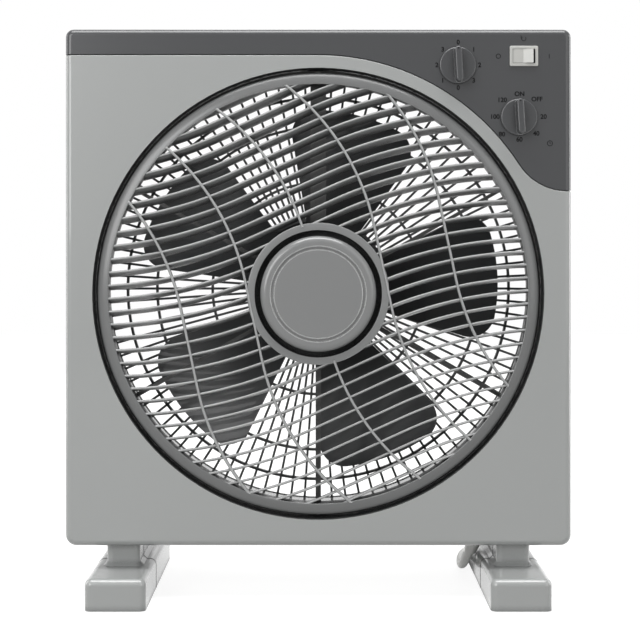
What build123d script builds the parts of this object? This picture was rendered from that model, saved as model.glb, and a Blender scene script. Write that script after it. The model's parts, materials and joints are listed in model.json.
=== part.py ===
from build123d import *
import os
from math import atan2, cos, degrees, pi, radians, sin, sqrt, tan

os.makedirs("parts", exist_ok=True)

# Box fan, in millimetres.  The front faces -Y, +Z is up and the floor is Z = 0.
# The origin is on the floor, under the middle of the four feet.

# Body: a front and a rear shell that meet at an upright seam
body_width = 374.0
body_height = 382.0
body_bottom = 41.0
front_face = -58.0
front_depth = 40.0
rear_depth = 63.5
seam_gap = 0.5
wall = 2.5
top_corner = 6.0
bottom_corner = 8.0
edge_radius = 4.5
boss_inset = 16.0
front_boss_radius = 4.5
rear_boss_radius = 6.0
boss_floor = 9.5
least_radius = 0.5

# Round opening and the air duct behind it
ring_height = 186.4
opening_radius = 167.0
opening_lip = 1.2
collar_wall = 2.0
collar_back_gap = 2.5
duct_step = 0.5
duct_flare = 1.0
duct_wall = 2.0

# Control panel let into the top and the right corner of the front shell
panel_thickness = 2.0
panel_gap = 0.4
panel_rim = 9.5
panel_sweep_radius = 42.0
panel_bottom = 76.0

# Feet: two long skids, each on one post, cut by the seam
foot_spacing = 292.0
foot_width = 44.0
foot_length = 180.0
foot_height = 22.6
foot_clearance = 0.8
foot_corner = 5.0
foot_edge = 4.5
foot_wall = 3.0
foot_rib = 1.5
toe_length = 18.0
post_width = 25.0
post_length = 85.0
post_corner = 5.0
post_flare = 2.5
pad_radius = 7.0
pad_thickness = 2.0
pad_inset = 10.0

# Rear guard: a shallow dome of ribs and rings that carries the fan motor
guard_dome = 12.0
guard_rib_count = 96
guard_rib_width = 1.8
guard_rib_depth = 3.5
guard_ring_radii = (86.0, 131.0, 155.0)
guard_ring_width = 2.0
guard_hub_radius = 58.0
guard_hub_thickness = 3.0
guard_hub_rim = 7.0
guard_shoulder = 14.5
guard_flange_inner = 168.0
guard_flange_outer = 178.0
guard_flange_thickness = 2.5
guard_screw_count = 6
guard_screw_circle = 174.5
guard_boss_radius = 3.6
guard_boss_depth = 12.0

# Rotating louver
louver_depth = 13.0
louver_gap = 3.8
louver_rim_width = 8.2
louver_skin = 2.0
hub_ring_radius = 52.5
hub_ring_width = 5.6
louver_boss_radius = 7.0
louver_boss_length = 6.0
slat_pitch = 9.46
slats_each_side = 20
slat_lean = 2.99
slat_offset = -0.6
slat_thickness = 1.7
slat_half_span = 157.6
slat_bend_radius = 310.0
slat_slope = 24.5
slat_overrun = 2.5
slat_drop_angle = 11.8
louver_rib_width = 2.0
louver_rib_proud = 0.6
louver_rib_depth = 4.6
louver_rib_side = 2
louver_rib_step_x = 47.75
louver_rib_step_z = 20.0
louver_rib_lean = 12.0
louver_rib_reach = 30.0
louver_rib_radius = 180.0
cap_radius = 42.8
cap_depth = 18.0
cap_wall = 2.0
cap_fillet = 4.5
cap_groove_radius = 33.9
cap_groove_width = 2.4
cap_groove_depth = 1.0
cap_boss_radius = 3.5
cap_boss_solid = 6.0
cap_screw_circle = 36.0
cap_screw_count = 3
cap_screw_bite = 9.0

# Bridge across the opening: a spoked ring, with the louver's gear motor behind its disc
bridge_gap = 3.4
bridge_thickness = 3.0
bridge_upper_width = 11.7
bridge_lower_width = 4.0
bridge_arm_width = 2.6
bridge_arm_slope = 29.5
bridge_ring_width = 8.5
bridge_disc_radius = 28.0
bridge_end_gap = 0.5
lug_width = 16.0
lug_length = 9.0
lug_depth = 6.0
louver_motor_radius = 25.0
louver_motor_depth = 14.0
louver_motor_edge = 1.5
louver_shaft_radius = 3.5
louver_shaft_inside = 10.0
louver_shaft_gap = 0.9
louver_shaft_chamfer = 0.4
lead_radius = 1.25
lead_offset = 3.0
lead_bend = 6.0
lead_rise = 12.0

# Fan motor
motor_radius = 44.0
bell_depth = 16.0
bell_wall = 1.8
bell_end = 3.0
bell_boss_depth = 8.0
bell_boss_radius = 2.6
core_length = 14.0
core_bore_radius = 22.4
core_slots = 8
slot_inner = 24.5
slot_outer = 37.5
slot_width = 9.0
winding_gap = 0.4
winding_overhang = 7.5
winding_edge = 2.0
rotor_gap = 0.4
rotor_overhang = 0.5
rotor_ring_radius = 19.0
rotor_ring_depth = 3.0
shaft_radius = 4.0
shaft_tail_gap = 0.5
bush_radius = 7.5
bush_length = 8.0
bush_housing_radius = 10.0
bush_setback = 1.0
motor_bolt_circle = 40.0
motor_mount_circle = 35.0
motor_screw_count = 4

# Five-bladed fan
blade_count = 5
blade_tip_radius = 140.0
blade_angle = 5.0
blade_span = 45.2
blade_tip_corner = 19.0
blade_pitch = 44.4
blade_thickness = 2.0
blade_sections = 5
blade_overrun = 4.75
fan_hub_radius = 50.0
fan_hub_wall = 2.5
fan_hub_depth = 21.0
fan_hub_face = 3.0
fan_hub_edge = 4.0
fan_motor_gap = 3.0
fan_boss_radius = 9.0
fan_boss_length = 18.0
drive_pin_radius = 1.25
drive_pin_length = 16.0
drive_pin_setback = 2.0
thread_radius = 3.4
nut_radius = 13.0
nut_depth = 6.0
nut_flutes = 8
nut_flute_radius = 2.0
nut_cover = 1.2

# Controls on the panel, placed from the fan axis
speed_x = 102.9
speed_z = 168.6
timer_x = 148.1
timer_z = 130.4
rocker_x = 151.7
rocker_z = 175.4
knob_radius = 13.5
knob_disc = 2.6
knob_gap = 0.4
knob_bar_width = 5.0
knob_bar_length = 25.5
knob_bar_corner = 2.4
knob_rest_turn = 3.5
knob_bar_height = 11.0
knob_edge = 1.0
spindle_radius = 1.8
spindle_length = 32.0
spindle_in_knob = 7.6
neck_radius = 4.4
speed_switch_size = 30.0
speed_switch_depth = 23.5
speed_switch_corner = 2.5
timer_radius = 22.5
timer_depth = 22.0
terminal_width = 6.0
terminal_pitch = 9.0
terminal_thickness = 0.8
terminal_length = 6.0
bezel_width = 21.0
bezel_height = 15.0
bezel_proud = 1.5
bezel_flange = 1.0
bezel_edge = 0.5
rocker_depth = 18.5
rocker_pocket = 9.5
rocker_length = 14.8
rocker_height = 10.0
rocker_gap = 0.3
rocker_end_gap = 0.9
rocker_skirt = 1.0
rocker_swing = 8.0
rocker_face_dip = 1.2
rocker_pivot_depth = 3.5
rocker_pin_radius = 1.0

# Handle recess in the top of the rear shell
handle_width = 90.0
handle_opening = 28.0
handle_depth = 16.0
handle_lip = 4.0
handle_undercut = 12.0
handle_from_seam = 24.0

# Fasteners
screw_head_height = 2.0
small_head_radius = 2.8
small_shank_radius = 1.3
housing_head_radius = 3.5
housing_head_height = 2.5
housing_shank_radius = 1.6
housing_screw_bite = 14.0
counterbore_radius = 4.2
screw_hole_radius = 2.1
drive_slot_width = 0.8
drive_slot_depth = 0.8

# Clearances
turning_fit = 0.05
seat_fit = 0.1
end_gap = 0.3
through = 2.0

# Electrical parts on the floor of the rear shell
capacitor_width = 35.0
capacitor_depth = 36.0
capacitor_height = 26.0
capacitor_corner = 2.5
capacitor_x = -142.5
capacitor_y = 18.0
terminal_block_width = 24.0
terminal_block_depth = 22.0
terminal_block_height = 16.0
terminal_block_x = 150.0
terminal_block_y = 16.0

# Mains cord, with its strain relief under the right side of the rear shell
cord_diameter = 7.0
cord_route = (
    (119.5, 12.6, 24.0),
    (116.5, 23.3, 13.0),
    (115.2, 46.0, 3.55),
    (119.2, 90.0, 3.55),
    (131.4, 117.4, 3.55),
    (150.7, 140.4, 3.55),
    (165.7, 166.4, 3.55),
)
cord_last_run = 28.0
cord_bend_share = 0.45
coil_entry_angle = -12.0
coil_outer_turn = 49.0
coil_turns = 3
coil_floor_gap = 0.05
tail_route = (
    (109.3, 257.1, 10.2),
    (84.0, 258.5, 6.95),
    (59.9, 252.5, 6.95),
)
tie_width = 8.0
tie_thickness = 1.2
tie_angle = -150.0
boot_root_radius = 6.5
boot_tip_radius = 4.75
boot_neck_radius = 5.0
boot_flange_radius = 8.0
boot_flange_thickness = 2.0
boot_inside = 10.0
plug_length = 37.0
plug_width = 35.3
plug_thickness = 13.7
plug_corner = 5.0
plug_neck_width = 24.7
plug_neck_thickness = 12.7
plug_relief_length = 16.0
plug_relief_radius = 5.5
plug_relief_tip = 4.5
pin_radius = 2.0
pin_length = 19.0
pin_spacing = 19.0
pin_root = 8.0

# Depths and heights that follow from the driving dimensions
ring_z = body_bottom + ring_height
body_middle = body_bottom + body_height / 2
body_top = body_bottom + body_height
seam = front_face + front_depth
rear_front = seam + seam_gap
back_face = rear_front + rear_depth
bed_depth = panel_thickness + wall
panel_rim_radius = opening_radius + panel_rim
duct_radius = opening_radius + duct_step
duct_back_radius = duct_radius + duct_flare
foot_top = foot_clearance + foot_height
foot_centre = foot_spacing / 2
guard_back = back_face + guard_dome
hub_plate_front = guard_back - guard_hub_thickness
core_back = hub_plate_front - bell_depth
core_front = core_back - core_length
motor_front = core_front - bell_depth
fan_hub_back = motor_front - fan_motor_gap
fan_hub_front = fan_hub_back - fan_hub_depth
louver_back = front_face + louver_depth
louver_floor = louver_back - louver_skin
cap_front = louver_floor - cap_depth
louver_rim_outer = opening_radius - louver_gap
louver_rim_inner = louver_rim_outer - louver_rim_width
bridge_front = louver_back + bridge_gap
bridge_back = bridge_front + bridge_thickness
louver_motor_back = bridge_back + louver_motor_depth
lug_middle = opening_radius - lug_length / 2 + bridge_end_gap
cord_radius = cord_diameter / 2

fan_axis = Axis((0, 0, ring_z), (0, 1, 0))
section_plane = Plane.XY.offset(ring_z)


def face_plane(depth, height=0.0):
    """Upright plane that looks to the front: local x is X and local y is Z."""
    return Plane(origin=(0, depth, height), x_dir=(1, 0, 0), z_dir=(0, -1, 0))


def ring_plane(depth):
    """Face plane with its origin on the fan axis."""
    return face_plane(depth, ring_z)


def spoke_plane(angle):
    """Plane through the fan axis: local x runs outward and local y to the back."""
    turn = radians(angle)
    return Plane(
        origin=(0, 0, ring_z),
        x_dir=(cos(turn), 0, sin(turn)),
        z_dir=(-sin(turn), 0, cos(turn)),
    )


def ring_of(outer, inner):
    """Flat ring, drawn in the sketch at hand."""
    Circle(outer)
    Circle(inner, mode=Mode.SUBTRACT)


def bar(front, back, mode=Mode.ADD):
    """Extrude the pending sketch, which lies at the back, up to the front depth."""
    extrude(amount=back - front, mode=mode)


def body_outline(inset):
    """Outline of the body, set in evenly on all sides."""
    Rectangle(body_width - 2 * inset, body_height - 2 * inset)
    fillet(vertices().group_by(Axis.Y)[-1], max(top_corner - inset, least_radius))
    fillet(vertices().group_by(Axis.Y)[0], max(bottom_corner - inset, least_radius))


def body_block(front, back, inset, rounded):
    """Block of the body's outline; rounded is 0 for its front edges and -1 for its back."""
    with BuildPart() as block:
        with BuildSketch(face_plane(back, body_middle)):
            body_outline(inset)
        bar(front, back)
        fillet(block.faces().sort_by(Axis.Y)[rounded].edges(), max(edge_radius - inset, least_radius))
    return block.part


def panel_region(margin):
    """Area of the control panel, grown by a margin and running past the body's edges."""
    rim = panel_rim_radius - margin
    sweep = panel_sweep_radius + margin
    sweep_z = panel_bottom + panel_sweep_radius
    sweep_x = sqrt((panel_rim_radius + panel_sweep_radius) ** 2 - sweep_z**2)
    turn = degrees(atan2(sweep_z, sweep_x))
    far_x = body_width
    far_z = body_height
    with BuildLine() as boundary:
        Line((-far_x, rim), (0, rim))
        CenterArc((0, 0), rim, 90, turn - 90)
        CenterArc((sweep_x, sweep_z), sweep, 180 + turn, 90 - turn)
        Polyline(
            (sweep_x, sweep_z - sweep),
            (far_x, sweep_z - sweep),
            (far_x, far_z),
            (-far_x, far_z),
            (-far_x, rim),
        )
    make_face(boundary.edges())


def screws(places, seat, heading, head_radius, head_height, shank_radius, length):
    """Screws with a drive slot; heading is 1 where they are driven towards the back."""
    with BuildSketch(ring_plane(seat)) as heads:
        with Locations(*places):
            Circle(head_radius)
    extrude(heads.sketch, amount=heading * head_height)
    with BuildSketch(ring_plane(seat)) as shanks:
        with Locations(*places):
            Circle(shank_radius)
    extrude(shanks.sketch, amount=-heading * length)
    with BuildSketch(ring_plane(seat - heading * head_height)) as slots:
        with Locations(*places):
            Rectangle(2 * head_radius, drive_slot_width)
    extrude(slots.sketch, amount=-heading * drive_slot_depth, mode=Mode.SUBTRACT)


def round_holes(places, radius, front, back):
    """Round holes between two depths, placed from the fan axis."""
    with BuildSketch(ring_plane(back)) as holes:
        with Locations(*places):
            Circle(radius)
    extrude(holes.sketch, amount=back - front, mode=Mode.SUBTRACT)


def on_circle(radius, count, start=0.0):
    """Places spread evenly on a circle about the fan axis."""
    places = []
    for step in range(count):
        angle = radians(start + 360 * step / count)
        places.append((radius * cos(angle), radius * sin(angle)))
    return places


corner_x = body_width / 2 - boss_inset
corner_low = boss_inset - ring_height
corner_high = body_height - boss_inset - ring_height
low_corners = [(-corner_x, corner_low), (corner_x, corner_low)]
high_corners = [(-corner_x, corner_high), (corner_x, corner_high)]
all_corners = low_corners + high_corners
guard_screws_at = on_circle(guard_screw_circle, guard_screw_count, 30)
lug_places = [(0, lug_middle), (0, -lug_middle)]
knob_places = [(speed_x, speed_z), (timer_x, timer_z)]
foot_places = [(-foot_centre, 0), (foot_centre, 0)]


# Feet and posts, whole; each shell takes its half
with BuildPart() as feet:
    with BuildSketch(Plane.XY.offset(foot_clearance)):
        with Locations(*foot_places):
            RectangleRounded(foot_width, foot_length, foot_corner)
    extrude(amount=foot_height)
    fillet(feet.faces().group_by(Axis.Z)[-1].edges(), foot_edge)
    with BuildSketch(Plane.XY.offset(foot_top)):
        with Locations(*foot_places):
            flare_width = post_width + 2 * post_flare
            RectangleRounded(flare_width, post_length + 2 * post_flare, post_corner + post_flare)
    extrude(amount=post_flare, taper=45)
    with BuildSketch(Plane.XY.offset(foot_top)):
        with Locations(*foot_places):
            RectangleRounded(post_width, post_length, post_corner)
    extrude(amount=body_bottom + wall / 2 - foot_top)
    hollow_front = foot_length / 2 - toe_length
    for near_seam, toe in ((seam - foot_wall, -hollow_front), (rear_front + foot_wall, hollow_front)):
        hollow_length = abs(near_seam - toe)
        with BuildSketch(Plane.XY.offset(foot_clearance)):
            with Locations((-foot_centre, (near_seam + toe) / 2), (foot_centre, (near_seam + toe) / 2)):
                Rectangle(foot_width - 2 * foot_wall, hollow_length)
                Rectangle(foot_width, foot_rib, mode=Mode.SUBTRACT)
        extrude(amount=foot_height - foot_wall, mode=Mode.SUBTRACT)
    pad_y = foot_length / 2 - pad_inset
    pad_places = [(x, y) for x, _ in foot_places for y in (-pad_y, pad_y)]
    with BuildSketch(Plane.XY.offset(foot_clearance)):
        with Locations(*pad_places):
            Circle(pad_radius + seat_fit)
    extrude(amount=pad_thickness - foot_clearance, mode=Mode.SUBTRACT)

with BuildPart() as front_feet:
    add(feet.part)
    split(bisect_by=face_plane(seam), keep=Keep.TOP)

with BuildPart() as rear_feet:
    add(feet.part)
    split(bisect_by=face_plane(rear_front), keep=Keep.BOTTOM)

with BuildPart() as foot_pads:
    with BuildSketch():
        with Locations(*pad_places):
            Circle(pad_radius)
    extrude(amount=pad_thickness)
foot_pads.part.label = "foot_pads"
export_step(foot_pads.part, "parts/foot_pads.step")


# Front shell: the wall behind the panel is set back by the panel's thickness
front_outer = body_block(front_face, seam, 0.0, 0)
front_cavity = body_block(front_face + wall, seam, wall, 0)
bed_outer = body_block(front_face + panel_thickness, seam, panel_thickness, 0)
bed_cavity = body_block(front_face + bed_depth, seam, bed_depth, 0)

with BuildPart() as panel_bed:
    add(bed_outer)
    add(bed_cavity, mode=Mode.SUBTRACT)
    with BuildSketch(ring_plane(seam)):
        panel_region(wall)
    extrude(amount=front_depth, mode=Mode.INTERSECT)

window_width = bezel_width - 2 * bezel_flange
window_height = bezel_height - 2 * bezel_flange
collar_back = seam - collar_back_gap
collar_outer = opening_radius + collar_wall
lug_front = bridge_back
lead_hole = lead_radius + seat_fit

with BuildPart() as front_shell:
    add(front_outer)
    add(front_cavity, mode=Mode.SUBTRACT)
    with BuildSketch(ring_plane(seam)):
        panel_region(0.0)
    extrude(amount=front_depth, mode=Mode.SUBTRACT)
    add(panel_bed.part)
    with BuildSketch(ring_plane(collar_back)):
        Circle(collar_outer)
    bar(front_face, collar_back)
    with BuildSketch(ring_plane(collar_back)):
        Circle(opening_radius)
    bar(front_face, collar_back, Mode.SUBTRACT)
    rim_edges = front_shell.edges().filter_by(GeomType.CIRCLE).group_by(Axis.Y)[0]
    fillet(rim_edges.sort_by(SortBy.RADIUS)[-1], opening_lip)
    with BuildSketch(ring_plane(lug_front + lug_depth)):
        with Locations(*lug_places):
            Rectangle(lug_width, lug_length + collar_wall)
    bar(lug_front, lug_front + lug_depth)
    with BuildSketch(ring_plane(seam)):
        with Locations(*low_corners):
            Circle(front_boss_radius)
    bar(front_face + wall / 2, seam)
    with BuildSketch(ring_plane(seam)):
        with Locations(*high_corners):
            Circle(front_boss_radius)
    bar(front_face + panel_thickness + wall / 2, seam)
    round_holes(all_corners, housing_shank_radius + turning_fit, seam - housing_screw_bite - through, seam)
    round_holes(lug_places, small_shank_radius + turning_fit, lug_front, lug_front + lug_depth)
    round_holes(knob_places, neck_radius + seat_fit, front_face + panel_thickness, seam)
    with BuildSketch(ring_plane(seam)):
        with Locations((rocker_x, rocker_z)):
            Rectangle(window_width + 2 * seat_fit, window_height + 2 * seat_fit)
    bar(front_face + panel_thickness, seam, Mode.SUBTRACT)
    with BuildSketch(Plane.XY.offset(ring_z + lug_middle - lug_length)):
        with Locations((lead_offset, lug_front + lead_hole)):
            Circle(lead_hole)
            Rectangle(2 * lead_hole, 2 * lead_hole, align=(Align.CENTER, Align.MAX))
    extrude(amount=2 * lug_length, mode=Mode.SUBTRACT)
    add(front_feet.part)
front_shell.part.label = "front_shell"
export_step(front_shell.part, "parts/front_shell.step")

with BuildPart() as control_panel:
    add(front_outer)
    add(bed_outer, mode=Mode.SUBTRACT)
    with BuildSketch(ring_plane(seam)):
        panel_region(-panel_gap)
    extrude(amount=front_depth, mode=Mode.INTERSECT)
    round_holes(knob_places, neck_radius + seat_fit, front_face, seam)
    with BuildSketch(ring_plane(seam)):
        with Locations((rocker_x, rocker_z)):
            Rectangle(window_width + 2 * seat_fit, window_height + 2 * seat_fit)
    bar(front_face, seam, Mode.SUBTRACT)
control_panel.part.label = "control_panel"
export_step(control_panel.part, "parts/control_panel.step")


# Strain relief: its axis runs down and back along the cord's first run
cord_start = Vector(*cord_route[0])
cord_heading = (Vector(*cord_route[1]) - cord_start).normalized()
boot_reach = (body_bottom - cord_start.Z) / -cord_heading.Z
boot_root = cord_start - cord_heading * boot_reach
boot_plane = Plane(origin=boot_root, z_dir=cord_heading)
flange_centre = boot_root + cord_heading * (wall / cord_heading.Z)

with BuildPart() as cord_boot:
    boot_back = Plane(origin=boot_root - cord_heading * boot_inside, z_dir=cord_heading)
    with BuildSketch(boot_back):
        Circle(boot_root_radius)
    with BuildSketch(Plane(origin=cord_start, z_dir=cord_heading)):
        Circle(boot_tip_radius)
    loft()
    split(bisect_by=Plane.XY.offset(body_bottom), keep=Keep.BOTTOM)
    with BuildSketch(boot_back):
        Circle(boot_neck_radius)
    extrude(amount=boot_inside + boot_tip_radius)
    with BuildSketch(Plane.XY.offset(body_bottom + wall)):
        with Locations((flange_centre.X, flange_centre.Y)):
            Circle(boot_flange_radius)
    extrude(amount=boot_flange_thickness)
cord_boot.part.label = "cord_boot"
export_step(cord_boot.part, "parts/cord_boot.step")


# Rear shell: back wall with the duct's mouth, handle recess and screw bosses
rear_outer = body_block(rear_front, back_face, 0.0, -1)
rear_cavity = body_block(rear_front, back_face - wall, wall, -1)
handle_front = rear_front + handle_from_seam
handle_floor = body_top - handle_depth
head_seat = rear_front + boss_floor

with BuildPart() as rear_shell:
    add(rear_outer)
    add(rear_cavity, mode=Mode.SUBTRACT)
    with BuildSketch(Plane.XY.offset(handle_floor - wall)):
        with Locations((0, handle_front - handle_undercut - wall)):
            Rectangle(
                handle_width + 2 * wall,
                handle_undercut + handle_opening + 2 * wall,
                align=(Align.CENTER, Align.MIN),
            )
    extrude(amount=handle_depth)
    with BuildSketch(Plane.XY.offset(handle_floor)):
        with Locations((0, handle_front)):
            Rectangle(handle_width, handle_opening, align=(Align.CENTER, Align.MIN))
    extrude(amount=handle_depth, mode=Mode.SUBTRACT)
    with BuildSketch(Plane.XY.offset(handle_floor)):
        with Locations((0, handle_front - handle_undercut)):
            Rectangle(handle_width, handle_undercut + through, align=(Align.CENTER, Align.MIN))
    extrude(amount=handle_depth - handle_lip, mode=Mode.SUBTRACT)
    with BuildSketch(ring_plane(back_face - wall / 2)):
        with Locations(*guard_screws_at):
            Circle(guard_boss_radius)
    extrude(amount=guard_boss_depth)
    with BuildSketch(section_plane):
        Polygon(
            (duct_radius - wall, rear_front),
            (duct_radius + duct_wall, rear_front),
            (duct_back_radius + duct_wall, back_face - wall / 2),
            (duct_back_radius - wall, back_face - wall / 2),
            align=None,
        )
    revolve(axis=fan_axis)
    with BuildSketch(section_plane):
        Polygon(
            (0, rear_front),
            (duct_radius, rear_front),
            (duct_back_radius, back_face),
            (0, back_face),
            align=None,
        )
    revolve(axis=fan_axis, mode=Mode.SUBTRACT)
    with BuildSketch(ring_plane(back_face - wall / 2)):
        with Locations(*all_corners):
            Circle(rear_boss_radius)
    bar(rear_front, back_face - wall / 2)
    round_holes(all_corners, counterbore_radius, head_seat, back_face)
    round_holes(all_corners, screw_hole_radius, rear_front, head_seat)
    guard_pilot = back_face - guard_boss_depth
    round_holes(guard_screws_at, small_shank_radius + turning_fit, guard_pilot, back_face)
    with BuildSketch(boot_plane):
        Circle(boot_neck_radius + seat_fit)
    extrude(amount=2 * boot_inside, both=True, mode=Mode.SUBTRACT)
    add(rear_feet.part)
rear_shell.part.label = "rear_shell"
export_step(rear_shell.part, "parts/rear_shell.step")

with BuildPart() as housing_screws:
    screws(
        all_corners,
        head_seat,
        -1,
        housing_head_radius,
        housing_head_height,
        housing_shank_radius,
        head_seat - seam + housing_screw_bite,
    )
housing_screws.part.label = "housing_screws"
export_step(housing_screws.part, "parts/housing_screws.step")


# Rear guard: bent ribs, joined by rings, a hub plate and a flange
mount_places = on_circle(motor_mount_circle, motor_screw_count, 45)

with BuildPart() as rear_guard:
    shoulder = guard_flange_inner - guard_shoulder
    dome_front = guard_back - guard_rib_depth
    flange_back = back_face + guard_flange_thickness
    rib_root = guard_hub_radius - wall
    for turn in range(guard_rib_count):
        with BuildSketch(spoke_plane(360 * turn / guard_rib_count)):
            Polygon(
                (rib_root, guard_back),
                (shoulder, guard_back),
                (guard_flange_inner + guard_flange_thickness, back_face),
                (guard_flange_inner - guard_flange_thickness / 2, back_face),
                (shoulder - guard_rib_depth / 2, dome_front),
                (rib_root, dome_front),
                align=None,
            )
    ribs = extrude(amount=guard_rib_width / 2, both=True, clean=False, mode=Mode.PRIVATE)
    with BuildSketch(ring_plane(guard_back)):
        for radius in guard_ring_radii:
            trace([Edge.make_circle(radius)], line_width=guard_ring_width)
    rings = extrude(amount=guard_rib_depth, mode=Mode.PRIVATE)
    with BuildSketch(ring_plane(guard_back)):
        Circle(guard_hub_radius)
    hub_plate = extrude(amount=guard_hub_thickness, mode=Mode.PRIVATE)
    with BuildSketch(ring_plane(guard_back)):
        ring_of(guard_hub_radius, guard_hub_radius - wall)
    hub_rim = extrude(amount=guard_hub_rim, mode=Mode.PRIVATE)
    with BuildSketch(ring_plane(flange_back)):
        ring_of(guard_flange_outer, guard_flange_inner)
    flange = extrude(amount=guard_flange_thickness, mode=Mode.PRIVATE)
    add([ribs, rings, hub_plate, hub_rim, flange], clean=False)
    round_holes(guard_screws_at, small_shank_radius + seat_fit, back_face, flange_back)
    round_holes(mount_places, small_shank_radius + seat_fit, hub_plate_front, guard_back)
rear_guard.part.label = "rear_guard"
export_step(rear_guard.part, "parts/rear_guard.step")

with BuildPart() as guard_screws:
    screws(
        guard_screws_at,
        flange_back,
        -1,
        small_head_radius,
        screw_head_height,
        small_shank_radius,
        guard_flange_thickness + guard_boss_depth - through,
    )
guard_screws.part.label = "guard_screws"
export_step(guard_screws.part, "parts/guard_screws.step")


# Fan motor: two bells clamp the stator core; the rear bell sits on the guard's hub plate
bolt_places = on_circle(motor_bolt_circle, motor_screw_count, 0)
bell_inner = motor_radius - bell_wall
bush_front = motor_front + bush_setback
bush_rear = hub_plate_front - bell_end - bush_length

with BuildPart() as motor_rear_bell:
    with BuildSketch(ring_plane(hub_plate_front)):
        Circle(motor_radius)
    extrude(amount=bell_depth)
    fillet(motor_rear_bell.faces().sort_by(Axis.Y)[-1].edges(), bell_end)
    with BuildSketch(ring_plane(hub_plate_front - bell_end)):
        ring_of(bell_inner, bush_housing_radius)
    extrude(amount=bell_depth - bell_end, mode=Mode.SUBTRACT)
    with BuildSketch(ring_plane(bush_rear)):
        Circle(bush_housing_radius)
    extrude(amount=bell_depth, mode=Mode.SUBTRACT)
    with BuildSketch(ring_plane(bush_rear + bush_length)):
        Circle(bush_radius)
    extrude(amount=bush_length, mode=Mode.SUBTRACT)
    round_holes([(0, 0)], shaft_radius + seat_fit, bush_rear, hub_plate_front)
    with BuildSketch(ring_plane(hub_plate_front)):
        with Locations(*mount_places):
            Circle(bell_boss_radius)
    extrude(amount=bell_boss_depth)
    pilot_front = hub_plate_front - bell_boss_depth
    round_holes(mount_places, small_shank_radius + turning_fit, pilot_front, hub_plate_front)
    round_holes(bolt_places, small_shank_radius + turning_fit, core_back, hub_plate_front - bell_end)
motor_rear_bell.part.label = "motor_rear_bell"
export_step(motor_rear_bell.part, "parts/motor_rear_bell.step")

with BuildPart() as motor_front_bell:
    with BuildSketch(ring_plane(core_front)):
        Circle(motor_radius)
    extrude(amount=bell_depth)
    fillet(motor_front_bell.faces().sort_by(Axis.Y)[0].edges(), bell_end)
    with BuildSketch(ring_plane(core_front)):
        Circle(bell_inner)
    extrude(amount=bell_depth - bell_end, mode=Mode.SUBTRACT)
    with BuildSketch(ring_plane(bush_front + bush_length)):
        Circle(bush_housing_radius)
    extrude(amount=bush_length)
    with BuildSketch(ring_plane(bush_front + bush_length)):
        Circle(bush_radius)
    extrude(amount=bush_length, mode=Mode.SUBTRACT)
    round_holes([(0, 0)], shaft_radius + seat_fit, motor_front, bush_front)
    with BuildSketch(ring_plane(core_front)):
        with Locations(*bolt_places):
            Circle(bell_boss_radius)
    extrude(amount=bell_depth - bell_end)
    round_holes(bolt_places, small_shank_radius + seat_fit, motor_front, core_front)
motor_front_bell.part.label = "motor_front_bell"
export_step(motor_front_bell.part, "parts/motor_front_bell.step")

with BuildPart() as stator_core:
    with BuildSketch(ring_plane(core_back)):
        ring_of(motor_radius, core_bore_radius)
        with PolarLocations((slot_inner + slot_outer) / 2, core_slots):
            Rectangle(slot_outer - slot_inner, slot_width, mode=Mode.SUBTRACT)
        with Locations(*bolt_places):
            Circle(small_shank_radius + seat_fit, mode=Mode.SUBTRACT)
    extrude(amount=core_length)
stator_core.part.label = "stator_core"
export_step(stator_core.part, "parts/stator_core.step")

coil_inner = slot_inner + winding_gap
coil_outer = slot_outer - winding_gap

with BuildPart() as stator_windings:
    with BuildSketch(ring_plane(core_back)):
        with PolarLocations((coil_inner + coil_outer) / 2, core_slots):
            Rectangle(coil_outer - coil_inner, slot_width - 2 * winding_gap)
    extrude(amount=core_length)
    with BuildSketch(ring_plane(core_back + winding_overhang), ring_plane(core_front)):
        ring_of(coil_outer - winding_gap, coil_inner + winding_gap)
    extrude(amount=winding_overhang)
    end_edges = stator_windings.edges().filter_by(GeomType.CIRCLE)
    fillet(end_edges.group_by(Axis.Y)[0] + end_edges.group_by(Axis.Y)[-1], winding_edge)
stator_windings.part.label = "stator_windings"
export_step(stator_windings.part, "parts/stator_windings.step")

with BuildPart() as front_bearing:
    with BuildSketch(ring_plane(bush_front + bush_length)):
        ring_of(bush_radius, shaft_radius + turning_fit)
    extrude(amount=bush_length)
front_bearing.part.label = "front_bearing"
export_step(front_bearing.part, "parts/front_bearing.step")

with BuildPart() as rear_bearing:
    with BuildSketch(ring_plane(bush_rear + bush_length)):
        ring_of(bush_radius, shaft_radius + turning_fit)
    extrude(amount=bush_length)
rear_bearing.part.label = "rear_bearing"
export_step(rear_bearing.part, "parts/rear_bearing.step")

bolt_length = core_back - motor_front + bell_boss_depth
with BuildPart() as motor_bolts:
    screws(
        bolt_places,
        motor_front,
        1,
        small_head_radius,
        screw_head_height,
        small_shank_radius,
        bolt_length,
    )
motor_bolts.part.label = "motor_bolts"
export_step(motor_bolts.part, "parts/motor_bolts.step")

with BuildPart() as motor_mount_screws:
    screws(
        mount_places,
        guard_back,
        -1,
        small_head_radius,
        screw_head_height,
        small_shank_radius,
        guard_hub_thickness + bell_boss_depth - end_gap,
    )
motor_mount_screws.part.label = "motor_mount_screws"
export_step(motor_mount_screws.part, "parts/motor_mount_screws.step")


# Turning parts of the fan: shaft, rotor, fan, drive pin and blade nut
rotor_radius = core_bore_radius - rotor_gap
shaft_step = fan_hub_front + fan_hub_face
thread_front = fan_hub_front - nut_depth + nut_cover
pin_y = shaft_step + fan_boss_length - drive_pin_setback

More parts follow.
